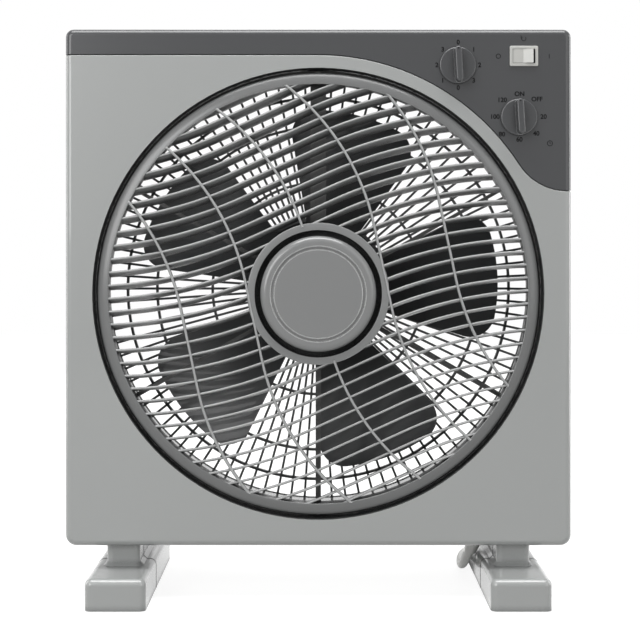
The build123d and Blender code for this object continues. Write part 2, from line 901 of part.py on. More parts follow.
with BuildPart() as motor_shaft:
    with BuildSketch(ring_plane(hub_plate_front - bell_end - shaft_tail_gap)):
        Circle(shaft_radius)
    bar(shaft_step, hub_plate_front - bell_end - shaft_tail_gap)
    with BuildSketch(ring_plane(shaft_step)):
        Circle(thread_radius)
    bar(thread_front + seat_fit, shaft_step)
    with BuildSketch(Plane.YZ):
        with Locations((pin_y, ring_z)):
            Circle(drive_pin_radius)
    extrude(amount=shaft_radius + through, both=True, mode=Mode.SUBTRACT)
motor_shaft.part.label = "motor_shaft"
export_step(motor_shaft.part, "parts/motor_shaft.step")

with BuildPart() as rotor:
    with BuildSketch(ring_plane(core_back + rotor_overhang)):
        Circle(rotor_radius)
    extrude(amount=core_length + 2 * rotor_overhang)
    rotor_ends = ring_plane(core_back + rotor_overhang + rotor_ring_depth)
    with BuildSketch(rotor_ends, ring_plane(core_front - rotor_overhang)):
        ring_of(rotor_ring_radius, 2 * shaft_radius)
    extrude(amount=rotor_ring_depth)
    round_holes([(0, 0)], shaft_radius, motor_front, core_back + bell_depth)
rotor.part.label = "rotor"
export_step(rotor.part, "parts/rotor.step")

with BuildPart() as drive_pin:
    with BuildSketch(Plane.YZ.offset(-drive_pin_length / 2)):
        with Locations((pin_y, ring_z)):
            Circle(drive_pin_radius)
    extrude(amount=drive_pin_length)
drive_pin.part.label = "drive_pin"
export_step(drive_pin.part, "parts/drive_pin.step")

with BuildPart() as blade_nut:
    with BuildSketch(ring_plane(fan_hub_front)):
        Circle(nut_radius)
        with PolarLocations(nut_radius + nut_flute_radius / 2, nut_flutes):
            Circle(nut_flute_radius, mode=Mode.SUBTRACT)
    extrude(amount=nut_depth)
    fillet(blade_nut.faces().sort_by(Axis.Y)[0].edges(), nut_cover / 2)
    round_holes([(0, 0)], thread_radius, thread_front, fan_hub_front)
blade_nut.part.label = "blade_nut"
export_step(blade_nut.part, "parts/blade_nut.step")

blade_middle = fan_hub_front + blade_pitch * radians(blade_span) / 2
blade_reach = blade_tip_radius - fan_hub_radius + fan_hub_wall
with BuildPart() as blade:
    for step in range(blade_sections):
        turn = (step / (blade_sections - 1) - 0.5) * (blade_span + blade_overrun)
        with BuildSketch(spoke_plane(blade_angle + turn)):
            with Locations((fan_hub_radius - fan_hub_wall, blade_middle - blade_pitch * radians(turn))):
                Rectangle(blade_reach + through, blade_thickness, align=(Align.MIN, Align.CENTER))
    loft()
    with BuildSketch(ring_plane(blade_middle)):
        with BuildLine():
            start = blade_angle - blade_span / 2
            rim = CenterArc((0, 0), blade_tip_radius, start, blade_span)
            Line(rim @ 1, (0, 0))
            Line((0, 0), rim @ 0)
        make_face()
        tips = vertices().sort_by_distance((0, 0))[-2:]
        fillet(tips, blade_tip_corner)
        Circle(fan_hub_radius - fan_hub_wall / 2, mode=Mode.SUBTRACT)
    extrude(amount=blade_pitch, both=True, mode=Mode.INTERSECT)

with BuildPart() as fan_blade:
    with BuildSketch(ring_plane(fan_hub_back)):
        Circle(fan_hub_radius)
    extrude(amount=fan_hub_depth)
    fillet(fan_blade.faces().sort_by(Axis.Y)[0].edges(), fan_hub_edge)
    with BuildSketch(ring_plane(fan_hub_back)):
        Circle(fan_hub_radius - fan_hub_wall)
    extrude(amount=fan_hub_depth - fan_hub_face, mode=Mode.SUBTRACT)
    with BuildSketch(ring_plane(shaft_step + fan_boss_length)):
        Circle(fan_boss_radius)
    extrude(amount=fan_boss_length)
    for step in range(blade_count):
        add(blade.part.rotate(fan_axis, 360 * step / blade_count))
    round_holes([(0, 0)], thread_radius + turning_fit, fan_hub_front, shaft_step)
    round_holes([(0, 0)], shaft_radius + turning_fit, shaft_step, shaft_step + fan_boss_length)
    with BuildSketch(ring_plane(shaft_step + fan_boss_length)):
        Rectangle(2 * fan_boss_radius + through, 2 * (drive_pin_radius + turning_fit))
    extrude(amount=drive_pin_setback + drive_pin_radius, mode=Mode.SUBTRACT)
fan_blade.part.label = "fan_blade"
export_step(fan_blade.part, "parts/fan_blade.step")


# Louver: S-shaped slats that lean down to the back, crossed by five curved ribs
slat_sweep = slat_half_span - slat_bend_radius * sin(radians(slat_slope))
slat_reach = slat_sweep / cos(radians(slat_slope))
slat_run = louver_depth / cos(radians(slat_drop_angle))
slat_end_angle = slat_slope + slat_overrun


def curved_line(middle, angle, reach, radius, turn):
    """Straight line about its middle, carried on at both ends by an arc of the same turn."""
    heading = Vector(cos(radians(angle)), sin(radians(angle)))
    tip = Vector(*middle) + heading * reach
    tail = Vector(*middle) - heading * reach
    with BuildLine() as line:
        Line(tail, tip)
        JernArc(tip, heading, radius, turn)
        JernArc(tail, -heading, radius, turn)
    return line.line


with BuildPart() as slats:
    with BuildSketch(ring_plane(front_face)):
        slat_lines = []
        for step in range(-slats_each_side, slats_each_side + 1):
            middle = (-slat_lean * step, slat_offset + slat_pitch * step)
            slat_lines.append(
                curved_line(middle, slat_slope, slat_reach, slat_bend_radius, -slat_end_angle)
            )
        trace(slat_lines, line_width=slat_thickness)
    drop = (0, cos(radians(slat_drop_angle)), -sin(radians(slat_drop_angle)))
    extrude(amount=slat_run, dir=drop, clean=False)
    with BuildSketch(ring_plane(louver_back)):
        ring_of(louver_rim_inner + louver_skin / 2, hub_ring_radius - hub_ring_width / 2)
    extrude(amount=louver_depth, mode=Mode.INTERSECT, clean=False)

louver_rib_front = front_face - louver_rib_proud
cap_places = on_circle(cap_screw_circle, cap_screw_count, 30)
boss_front = louver_floor - louver_boss_length
rib_arc = degrees(louver_rim_outer / louver_rib_radius)

with BuildPart() as louver_grille:
    with BuildSketch(ring_plane(louver_rib_front + louver_rib_depth)):
        rib_lines = []
        for step in range(-louver_rib_side, louver_rib_side + 1):
            middle = (louver_rib_step_x * step, louver_rib_step_z * step)
            rib_lines.append(
                curved_line(middle, 90 + louver_rib_lean, louver_rib_reach, louver_rib_radius, rib_arc)
            )
        trace(rib_lines, line_width=louver_rib_width)
        Circle(louver_rim_inner + louver_skin / 2, mode=Mode.INTERSECT)
        Circle(hub_ring_radius - louver_skin / 2, mode=Mode.SUBTRACT)
    cross_ribs = extrude(amount=louver_rib_depth, clean=False, mode=Mode.PRIVATE)
    with BuildSketch(section_plane):
        Polygon(
            (louver_rim_inner, front_face),
            (louver_rim_outer, front_face),
            (louver_rim_outer, louver_back),
            (louver_rim_outer - louver_skin, louver_back),
            (louver_rim_outer - louver_skin, front_face + louver_skin),
            (louver_rim_inner + louver_skin, front_face + louver_skin),
            (louver_rim_inner + louver_skin, louver_back),
            (louver_rim_inner, louver_back),
            align=None,
        )
        fillet(vertices().group_by(Axis.Y)[0], louver_skin / 2)
        with Locations((hub_ring_radius - hub_ring_width, front_face)):
            Rectangle(hub_ring_width, louver_depth, align=(Align.MIN, Align.MIN))
        with Locations((0, louver_floor)):
            Rectangle(hub_ring_radius, louver_skin, align=(Align.MIN, Align.MIN))
        with Locations((0, boss_front)):
            Rectangle(louver_boss_radius, louver_boss_length, align=(Align.MIN, Align.MIN))
    rings = revolve(axis=fan_axis, mode=Mode.PRIVATE)
    add([slats.part, cross_ribs, rings], clean=False)
    round_holes([(0, 0)], louver_shaft_radius, boss_front, louver_back)
    round_holes(cap_places, small_shank_radius + seat_fit, louver_floor, louver_back)
louver_grille.part.label = "louver_grille"
export_step(louver_grille.part, "parts/louver_grille.step")

with BuildPart() as hub_cap:
    with BuildSketch(ring_plane(louver_floor)):
        Circle(cap_radius)
    extrude(amount=cap_depth)
    fillet(hub_cap.faces().sort_by(Axis.Y)[0].edges(), cap_fillet)
    with BuildSketch(ring_plane(louver_floor)):
        Circle(cap_radius - cap_wall)
    extrude(amount=cap_depth - cap_wall, mode=Mode.SUBTRACT)
    with BuildSketch(ring_plane(cap_front + cap_groove_depth)):
        ring_of(cap_groove_radius + cap_groove_width / 2, cap_groove_radius - cap_groove_width / 2)
    extrude(amount=cap_depth, mode=Mode.SUBTRACT)
    with BuildSketch(ring_plane(louver_floor)):
        with Locations(*cap_places):
            Circle(cap_boss_radius)
    extrude(amount=cap_depth - cap_wall)
    round_holes(cap_places, small_shank_radius + turning_fit, cap_front + cap_boss_solid, louver_floor)
hub_cap.part.label = "hub_cap"
export_step(hub_cap.part, "parts/hub_cap.step")

with BuildPart() as cap_screws:
    screws(
        cap_places,
        louver_back,
        -1,
        small_head_radius,
        screw_head_height,
        small_shank_radius,
        louver_skin + cap_screw_bite,
    )
cap_screws.part.label = "cap_screws"
export_step(cap_screws.part, "parts/cap_screws.step")

with BuildPart() as louver_shaft:
    with BuildSketch(ring_plane(bridge_back + louver_shaft_inside)):
        Circle(louver_shaft_radius)
    bar(boss_front, bridge_back + louver_shaft_inside)
    chamfer(louver_shaft.edges().group_by(Axis.Y)[0], louver_shaft_chamfer)
louver_shaft.part.label = "louver_shaft"
export_step(louver_shaft.part, "parts/louver_shaft.step")


# Bridge over the opening, the louver's gear motor and its lead
bridge_reach = opening_radius - bridge_end_gap
bridge_mounts = on_circle(louver_motor_radius - lug_depth, 2, 0)

with BuildPart() as louver_bridge:
    with BuildSketch(ring_plane(bridge_back)):
        Rectangle(bridge_upper_width, bridge_reach, align=(Align.CENTER, Align.MIN))
        Rectangle(bridge_lower_width, bridge_reach, align=(Align.CENTER, Align.MAX))
        for slope in (-bridge_arm_slope, bridge_arm_slope):
            Rectangle(2 * bridge_reach, bridge_arm_width, rotation=slope)
        trace([Edge.make_circle(bridge_reach - bridge_ring_width / 2)], line_width=bridge_ring_width)
        Circle(bridge_disc_radius)
        Circle(louver_shaft_radius + louver_shaft_gap, mode=Mode.SUBTRACT)
        Circle(bridge_reach, mode=Mode.INTERSECT)
        with Locations(*lug_places, *bridge_mounts):
            Circle(small_shank_radius + seat_fit, mode=Mode.SUBTRACT)
    extrude(amount=bridge_thickness)
louver_bridge.part.label = "louver_bridge"
export_step(louver_bridge.part, "parts/louver_bridge.step")

with BuildPart() as bridge_screws:
    screws(
        lug_places,
        bridge_front,
        1,
        small_head_radius,
        screw_head_height,
        small_shank_radius,
        bridge_thickness + lug_depth,
    )
bridge_screws.part.label = "bridge_screws"
export_step(bridge_screws.part, "parts/bridge_screws.step")

with BuildPart() as louver_motor_screws:
    screws(
        bridge_mounts,
        bridge_front,
        1,
        small_head_radius,
        screw_head_height,
        small_shank_radius,
        bridge_thickness + lug_depth,
    )
louver_motor_screws.part.label = "louver_motor_screws"
export_step(louver_motor_screws.part, "parts/louver_motor_screws.step")

with BuildPart() as louver_motor:
    with BuildSketch(ring_plane(louver_motor_back)):
        Circle(louver_motor_radius)
    extrude(amount=louver_motor_depth)
    fillet(louver_motor.faces().sort_by(Axis.Y)[-1].edges(), louver_motor_edge)
    shaft_bore = louver_shaft_radius + turning_fit
    round_holes([(0, 0)], shaft_bore, bridge_back, bridge_back + louver_shaft_inside + end_gap)
    pilot = small_shank_radius + turning_fit
    round_holes(bridge_mounts, pilot, bridge_back, bridge_back + lug_depth + end_gap)
louver_motor.part.label = "louver_motor"
export_step(louver_motor.part, "parts/louver_motor.step")

lead_low = ring_z + louver_motor_radius
lead_high = ring_z + opening_radius
lead_back = bridge_back + louver_motor_depth / 2
lead_front = lug_front + lead_hole
with BuildPart() as louver_motor_lead:
    with BuildLine():
        FilletPolyline(
            (lead_offset, lead_back, lead_low),
            (lead_offset, lead_back, lead_low + lead_rise),
            (lead_offset, lead_front, lead_low + 2 * lead_rise),
            (lead_offset, lead_front, lead_high),
            radius=lead_bend,
        )
    with BuildSketch(Plane(origin=(lead_offset, lead_back, lead_low), z_dir=(0, 0, 1))):
        Circle(lead_radius)
    sweep()
louver_motor_lead.part.label = "louver_motor_lead"
export_step(louver_motor_lead.part, "parts/louver_motor_lead.step")


# Controls behind the panel
bed_back = front_face + bed_depth
knob_back = front_face - knob_gap
spindle_front = knob_back - spindle_in_knob
spindle_back = spindle_front + spindle_length


def spindle_switch(place, back):
    """Mounting neck, bore for the spindle and three solder tabs behind a switch body."""
    with BuildSketch(ring_plane(bed_back)) as neck:
        with Locations(place):
            Circle(neck_radius)
    extrude(neck.sketch, amount=bed_depth)
    round_holes([place], spindle_radius + turning_fit, front_face, spindle_back + end_gap)
    with BuildSketch(ring_plane(back)) as tabs:
        with Locations(place):
            with GridLocations(terminal_pitch, 0, 3, 1):
                Rectangle(terminal_thickness, terminal_width)
    extrude(tabs.sketch, amount=-terminal_length)


with BuildPart() as speed_switch:
    with BuildSketch(ring_plane(bed_back + speed_switch_depth)):
        with Locations((speed_x, speed_z)):
            RectangleRounded(speed_switch_size, speed_switch_size, speed_switch_corner)
    bar(bed_back, bed_back + speed_switch_depth)
    spindle_switch((speed_x, speed_z), bed_back + speed_switch_depth)
speed_switch.part.label = "speed_switch"
export_step(speed_switch.part, "parts/speed_switch.step")

with BuildPart() as timer:
    with BuildSketch(ring_plane(bed_back + timer_depth)):
        with Locations((timer_x, timer_z)):
            Circle(timer_radius)
    bar(bed_back, bed_back + timer_depth)
    spindle_switch((timer_x, timer_z), bed_back + timer_depth)
timer.part.label = "timer"
export_step(timer.part, "parts/timer.step")


def spindle(place):
    """Round spindle from inside the switch to inside the knob."""
    with BuildSketch(ring_plane(spindle_back)) as section:
        with Locations(place):
            Circle(spindle_radius)
    extrude(section.sketch, amount=spindle_length)


def knob(place):
    """Round disc with a grip bar across it and a blind hole for the spindle."""
    with BuildSketch(ring_plane(knob_back)) as disc:
        with Locations(place):
            Circle(knob_radius)
    extrude(disc.sketch, amount=knob_disc)
    fillet(faces().sort_by(Axis.Y)[0].edges(), knob_edge)
    with BuildSketch(ring_plane(knob_back - knob_disc / 2)) as grip:
        with Locations(place):
            RectangleRounded(knob_bar_width, knob_bar_length, knob_bar_corner, rotation=knob_rest_turn)
    extrude(grip.sketch, amount=knob_disc / 2 + knob_bar_height)
    fillet(faces().sort_by(Axis.Y)[0].edges(), knob_edge)
    with BuildSketch(ring_plane(knob_back)) as hole:
        with Locations(place):
            Circle(spindle_radius)
    extrude(hole.sketch, amount=spindle_in_knob, mode=Mode.SUBTRACT)


with BuildPart() as speed_spindle:
    spindle((speed_x, speed_z))
speed_spindle.part.label = "speed_spindle"
export_step(speed_spindle.part, "parts/speed_spindle.step")

with BuildPart() as timer_spindle:
    spindle((timer_x, timer_z))
timer_spindle.part.label = "timer_spindle"
export_step(timer_spindle.part, "parts/timer_spindle.step")

with BuildPart() as speed_knob:
    knob((speed_x, speed_z))
speed_knob.part.label = "speed_knob"
export_step(speed_knob.part, "parts/speed_knob.step")

with BuildPart() as timer_knob:
    knob((timer_x, timer_z))
timer_knob.part.label = "timer_knob"
export_step(timer_knob.part, "parts/timer_knob.step")


# Rocker switch: a bezel with a pocket, a pivot pin and a rocker that tips left and right
rocker_place = (rocker_x, rocker_z)
bezel_front = front_face - bezel_proud
pivot_y = bezel_front + rocker_pivot_depth
pocket_width = rocker_length + 2 * rocker_end_gap
pocket_height = rocker_height + 2 * rocker_gap
pivot_plane = Plane(origin=(rocker_x, pivot_y, ring_z + rocker_z))

with BuildPart() as switch_housing:
    with BuildSketch(ring_plane(front_face)):
        with Locations(rocker_place):
            RectangleRounded(bezel_width, bezel_height, bezel_flange)
    extrude(amount=bezel_proud)
    fillet(switch_housing.faces().sort_by(Axis.Y)[0].edges(), bezel_edge)
    with BuildSketch(ring_plane(bezel_front + rocker_depth)):
        with Locations(rocker_place):
            Rectangle(window_width, window_height)
    bar(front_face, bezel_front + rocker_depth)
    with BuildSketch(ring_plane(bezel_front + rocker_pocket)):
        with Locations(rocker_place):
            Rectangle(pocket_width, pocket_height)
    bar(bezel_front, bezel_front + rocker_pocket, Mode.SUBTRACT)
    with BuildSketch(pivot_plane):
        Circle(rocker_pin_radius)
    extrude(amount=window_height / 2 - turning_fit, both=True, mode=Mode.SUBTRACT)
    with BuildSketch(ring_plane(bezel_front + rocker_depth)):
        with Locations(rocker_place):
            with GridLocations(terminal_width, 0, 2, 1):
                Rectangle(terminal_thickness, terminal_width)
    extrude(amount=-terminal_length)
switch_housing.part.label = "switch_housing"
export_step(switch_housing.part, "parts/switch_housing.step")

with BuildPart() as rocker_pin:
    with BuildSketch(pivot_plane):
        Circle(rocker_pin_radius)
    extrude(amount=window_height / 2 - seat_fit, both=True)
rocker_pin.part.label = "rocker_pin"
export_step(rocker_pin.part, "parts/rocker_pin.step")

with BuildPart() as rocker:
    half_length = rocker_length / 2
    tip_front = -rocker_pivot_depth - rocker_face_dip + rocker_gap / 2
    with BuildSketch(pivot_plane.rotated((0, 0, -rocker_swing))):
        Polygon(
            (-half_length, tip_front),
            (0, tip_front + rocker_face_dip),
            (half_length, tip_front),
            (half_length, -rocker_skirt),
            (2 * rocker_pin_radius, rocker_pivot_depth),
            (-2 * rocker_pin_radius, rocker_pivot_depth),
            (-half_length, -rocker_skirt),
            align=None,
        )
        Circle(rocker_pin_radius + turning_fit, mode=Mode.SUBTRACT)
    extrude(amount=rocker_height / 2, both=True)
rocker.part.label = "rocker"
export_step(rocker.part, "parts/rocker.step")


# Electrical parts that stand on the floor of the rear shell
with BuildPart() as capacitor:
    with BuildSketch(Plane.XY.offset(body_bottom + wall)):
        with Locations((capacitor_x, capacitor_y)):
            Rectangle(capacitor_width, capacitor_depth)
    extrude(amount=capacitor_height)
    fillet(capacitor.edges().filter_by(Axis.Z), capacitor_corner)
capacitor.part.label = "capacitor"
export_step(capacitor.part, "parts/capacitor.step")

with BuildPart() as terminal_block:
    with BuildSketch(Plane.XY.offset(body_bottom + wall)):
        with Locations((terminal_block_x, terminal_block_y)):
            Rectangle(terminal_block_width, terminal_block_depth)
    extrude(amount=terminal_block_height)
    with BuildSketch(Plane.XY.offset(body_bottom + wall + terminal_block_height)):
        with Locations((terminal_block_x, terminal_block_y)):
            with GridLocations(terminal_block_width / 3, terminal_block_depth / 2, 3, 2):
                Circle(screw_hole_radius)
    extrude(amount=-terminal_block_height / 2, mode=Mode.SUBTRACT)
terminal_block.part.label = "terminal_block"
export_step(terminal_block.part, "parts/terminal_block.step")


# Mains cord: a tube along the open stretch, a coil behind the fan, a tail and a plug
def corner_radii(points):
    """Largest arc that each corner of the route leaves room for."""
    radii = []
    for before, corner, after in zip(points, points[1:], points[2:]):
        turn = (corner - before).get_angle(after - corner)
        run = min((corner - before).length, (after - corner).length)
        radii.append(cord_bend_share * run / tan(radians(turn / 2)))
    return radii


entry_heading = Vector(cos(radians(90 + coil_entry_angle)), sin(radians(90 + coil_entry_angle)))
coil_entry = Vector(*cord_route[-1]) + entry_heading * cord_last_run
coil_x = coil_entry.X - coil_outer_turn * cos(radians(coil_entry_angle))
coil_y = coil_entry.Y - coil_outer_turn * sin(radians(coil_entry_angle))
coil_inner_turn = coil_outer_turn - coil_turns * cord_diameter
coil_outside = coil_outer_turn + cord_radius
coil_inside = coil_inner_turn - cord_radius
coil_height = 2 * cord_diameter
coil_exit_angle = coil_entry_angle + 90
tail_start = Vector(
    coil_x + coil_outer_turn * cos(radians(coil_exit_angle)),
    coil_y + coil_outer_turn * sin(radians(coil_exit_angle)),
    coil_floor_gap + 3 * cord_radius,
)
main_points = [Vector(*point) for point in cord_route] + [coil_entry]
tail_points = [tail_start] + [Vector(*point) for point in tail_route]

for name, points in (("mains_cord", main_points), ("cord_tail", tail_points)):
    radii = corner_radii(points)
    print(name, "arc radii", [round(radius, 1) for radius in radii])
    with BuildPart() as tube:
        with BuildLine() as route:
            FilletPolyline(*points, radius=radii)
        with BuildSketch(Plane(origin=points[0], z_dir=points[1] - points[0])):
            Circle(cord_radius)
        sweep()
    tube_length = sum(edge.length for edge in route.edges())
    expected = pi * cord_radius**2 * tube_length
    print(name, "length", round(tube_length, 1), "volume ratio", round(tube.part.volume / expected, 5))
    tube.part.label = name
    export_step(tube.part, f"parts/{name}.step")

coil_length = 2 * coil_turns * pi * (coil_outer_turn + coil_inner_turn) + pi * coil_inner_turn / 2
print("coil length", round(coil_length, 1))

tie_x = coil_x + (coil_outside + coil_inside) / 2 * cos(radians(tie_angle))
tie_y = coil_y + (coil_outside + coil_inside) / 2 * sin(radians(tie_angle))
tie_plane = Plane(
    origin=(tie_x, tie_y, coil_floor_gap + coil_height / 2),
    x_dir=(cos(radians(tie_angle)), sin(radians(tie_angle)), 0),
    z_dir=(-sin(radians(tie_angle)), cos(radians(tie_angle)), 0),
)
tie_reach = coil_outside - coil_inside
tie_tall = coil_height - 2 * tie_thickness

with BuildPart() as cord_tie:
    with BuildSketch(tie_plane):
        Rectangle(tie_reach + 2 * tie_thickness, coil_height)
        Rectangle(tie_reach, tie_tall, mode=Mode.SUBTRACT)
    extrude(amount=tie_width / 2, both=True)
cord_tie.part.label = "cord_tie"
export_step(cord_tie.part, "parts/cord_tie.step")

with BuildPart() as cord_coil:
    with BuildSketch(Plane.XY.offset(coil_floor_gap)):
        with Locations((coil_x, coil_y)):
            ring_of(coil_outside, coil_inside)
    extrude(amount=coil_height)
    with BuildSketch(tie_plane):
        Rectangle(2 * tie_reach, 2 * coil_height)
        Rectangle(tie_reach, tie_tall, mode=Mode.SUBTRACT)
    extrude(amount=tie_width / 2 + seat_fit, both=True, mode=Mode.SUBTRACT)
cord_coil.part.label = "cord_coil"
export_step(cord_coil.part, "parts/cord_coil.step")

plug_heading = (tail_points[-1] - tail_points[-2]).normalized()
plug_root = Plane(origin=tail_points[-1], x_dir=(plug_heading.Y, -plug_heading.X, 0), z_dir=plug_heading)
plug_back = plug_root.offset(plug_relief_length)
plug_front = plug_back.offset(plug_length)

with BuildPart() as plug_body:
    with BuildSketch(plug_root):
        Circle(plug_relief_tip)
    with BuildSketch(plug_back):
        Circle(plug_relief_radius)
    loft()
    with BuildSketch(plug_back):
        RectangleRounded(plug_neck_width, plug_neck_thickness, plug_corner)
    with BuildSketch(plug_back.offset(plug_length / 2)):
        RectangleRounded(plug_width, plug_thickness, plug_corner)
    loft()
    with BuildSketch(plug_back.offset(plug_length / 2)):
        RectangleRounded(plug_width, plug_thickness, plug_corner)
    extrude(amount=plug_length / 2)
    with BuildSketch(plug_front):
        with GridLocations(pin_spacing, 0, 2, 1):
            Circle(pin_radius)
    extrude(amount=-pin_root, mode=Mode.SUBTRACT)
plug_body.part.label = "plug_body"
export_step(plug_body.part, "parts/plug_body.step")

with BuildPart() as plug_pins:
    with BuildSketch(plug_front.offset(-pin_root)):
        with GridLocations(pin_spacing, 0, 2, 1):
            Circle(pin_radius)
    extrude(amount=pin_root + pin_length)
    fillet(plug_pins.edges().sort_by_distance(plug_front.offset(pin_length).origin)[:2], pin_radius / 2)
plug_pins.part.label = "plug_pins"
export_step(plug_pins.part, "parts/plug_pins.step")
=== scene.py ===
# Box fan: mains cord, finishes, rotating louver, painted shade in the foot seams, dial marks and a plain
# studio
import json
import math

import bmesh
import bpy
from mathutils import Matrix, Vector


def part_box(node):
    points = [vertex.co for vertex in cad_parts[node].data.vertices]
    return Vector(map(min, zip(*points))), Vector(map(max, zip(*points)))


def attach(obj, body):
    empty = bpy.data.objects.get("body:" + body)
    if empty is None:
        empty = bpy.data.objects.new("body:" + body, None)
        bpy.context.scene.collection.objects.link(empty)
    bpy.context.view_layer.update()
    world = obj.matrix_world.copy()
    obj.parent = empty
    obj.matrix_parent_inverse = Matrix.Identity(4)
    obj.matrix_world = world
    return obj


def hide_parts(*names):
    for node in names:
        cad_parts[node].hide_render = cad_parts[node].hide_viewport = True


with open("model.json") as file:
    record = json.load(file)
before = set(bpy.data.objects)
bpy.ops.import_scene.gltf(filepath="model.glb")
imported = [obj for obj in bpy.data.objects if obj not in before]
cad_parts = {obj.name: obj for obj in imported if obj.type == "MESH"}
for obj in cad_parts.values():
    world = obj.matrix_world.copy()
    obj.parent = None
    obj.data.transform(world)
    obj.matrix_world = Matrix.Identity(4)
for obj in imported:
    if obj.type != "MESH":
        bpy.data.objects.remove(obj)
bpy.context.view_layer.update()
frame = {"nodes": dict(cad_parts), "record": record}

scene = bpy.context.scene


# small helpers

def tone(red, green, blue):
    # screen value 0 to 255, turned into the linear colour that shaders take
    out = []
    for value in (red, green, blue):
        share = value / 255
        out.append(share / 12.92 if share <= 0.04045 else ((share + 0.055) / 1.055) ** 2.4)
    return (*out, 1.0)


def addObject(name, data):
    obj = bpy.data.objects.new(name, data)
    scene.collection.objects.link(obj)
    return obj


def meshObject(name, verts, faces):
    mesh = bpy.data.meshes.new(name)
    mesh.from_pydata([tuple(v) for v in verts], [], faces)
    bm = bmesh.new()
    bm.from_mesh(mesh)
    bmesh.ops.recalc_face_normals(bm, faces=bm.faces)
    bm.to_mesh(mesh)
    bm.free()
    return addObject(name, mesh)


def softShade(obj, degrees=32):
    for poly in obj.data.polygons:
        poly.use_smooth = True
    obj.data.set_sharp_from_angle(angle=math.radians(degrees))


def applyAll(obj):
    # bakes the object's modifiers into its mesh
    graph = bpy.context.evaluated_depsgraph_get()
    mesh = bpy.data.meshes.new_from_object(obj.evaluated_get(graph))
    obj.modifiers.clear()
    obj.data = mesh


def cutBy(obj, tool, operation):
    cutter = obj.modifiers.new("cut", "BOOLEAN")
    cutter.object = tool
    cutter.operation = operation
    cutter.solver = "MANIFOLD"
    applyAll(obj)


def joinInto(name, parts):
    bm = bmesh.new()
    for part in parts:
        piece = bmesh.new()
        piece.from_mesh(part.data)
        piece.transform(part.matrix_world)
        holder = bpy.data.meshes.new("holder")
        piece.to_mesh(holder)
        piece.free()
        bm.from_mesh(holder)
        bpy.data.meshes.remove(holder)
        bpy.data.objects.remove(part)
    mesh = bpy.data.meshes.new(name)
    bm.to_mesh(mesh)
    bm.free()
    return addObject(name, mesh)


def lathe(name, profile, axisHeight, steps=192):
    # profile: closed loop of (radius, y), turned about the fan's own axis
    verts, faces = [], []
    count = len(profile)
    for step in range(steps):
        angle = 2 * math.pi * step / steps
        for radius, depth in profile:
            verts.append((radius * math.cos(angle), depth, axisHeight + radius * math.sin(angle)))
    for step in range(steps):
        here, there = step * count, (step + 1) % steps * count
        for k in range(count):
            nxt = (k + 1) % count
            faces.append((here + k, here + nxt, there + nxt, there + k))
    return meshObject(name, verts, faces)


def sweep(name, lines, front, section, fall):
    # each line: points (x, z); section: loop of (across, back, share of the fall)
    verts, faces = [], []
    count = len(section)
    for line in lines:
        first = len(verts)
        for k, (x, z) in enumerate(line):
            before, after = line[max(k - 1, 0)], line[min(k + 1, len(line) - 1)]
            along = Vector((after[0] - before[0], after[1] - before[1])).normalized()
            for across, back, share in section:
                height = z + along.x * across - share * fall(x, z)
                verts.append((x - along.y * across, front + back, height))
        for k in range(len(line) - 1):
            here, there = first + k * count, first + (k + 1) * count
            for j in range(count):
                nxt = (j + 1) % count
                faces.append((here + j, here + nxt, there + nxt, there + j))
        faces.append(tuple(first + j for j in range(count)))
        faces.append(tuple(first + (len(line) - 1) * count + j for j in reversed(range(count))))
    return meshObject(name, verts, faces)


# camera

print("camera")
cameraSetup = {
    "place": (0.0, -1.155, 0.269),
    "lens": 83.6,
    "sensor": 36,
    "shift": (0.0027, -0.129),   # keeps the uprights upright, with the feet in view
}
cameraData = bpy.data.cameras.new("camera")
cameraData.lens = cameraSetup["lens"]
cameraData.sensor_width = cameraSetup["sensor"]
cameraData.shift_x, cameraData.shift_y = cameraSetup["shift"]
camera = addObject("camera", cameraData)
camera.location = cameraSetup["place"]
camera.rotation_euler = (math.radians(90), 0, 0)
scene.camera = camera


# mains cord

print("mains cord")
cordSetup = {
    "thickness": 0.007,
    "length": 1.76,
    "route": [                   # out of the boot, down to the table and back behind the fan
        (0.1195, 0.0126, 0.0240),
        (0.1165, 0.0233, 0.0130),
        (0.1152, 0.0460, 0.00355),
        (0.1192, 0.0900, 0.00355),
        (0.1314, 0.1174, 0.00355),
        (0.1507, 0.1404, 0.00355),
        (0.1657, 0.1664, 0.00355),
    ],
    "lastRun": 0.028,
    "entryAngle": -12,           # where the open run meets the coil
    "turns": 3,
    "turnPoints": 16,
    "smoothness": 6,
    "outerTurn": 0.049,
    "floorGap": 0.00005,
    "tail": [
        (0.1093, 0.2571, 0.0102),
        (0.0840, 0.2585, 0.00695),
        (0.0599, 0.2525, 0.00695),
    ],
}


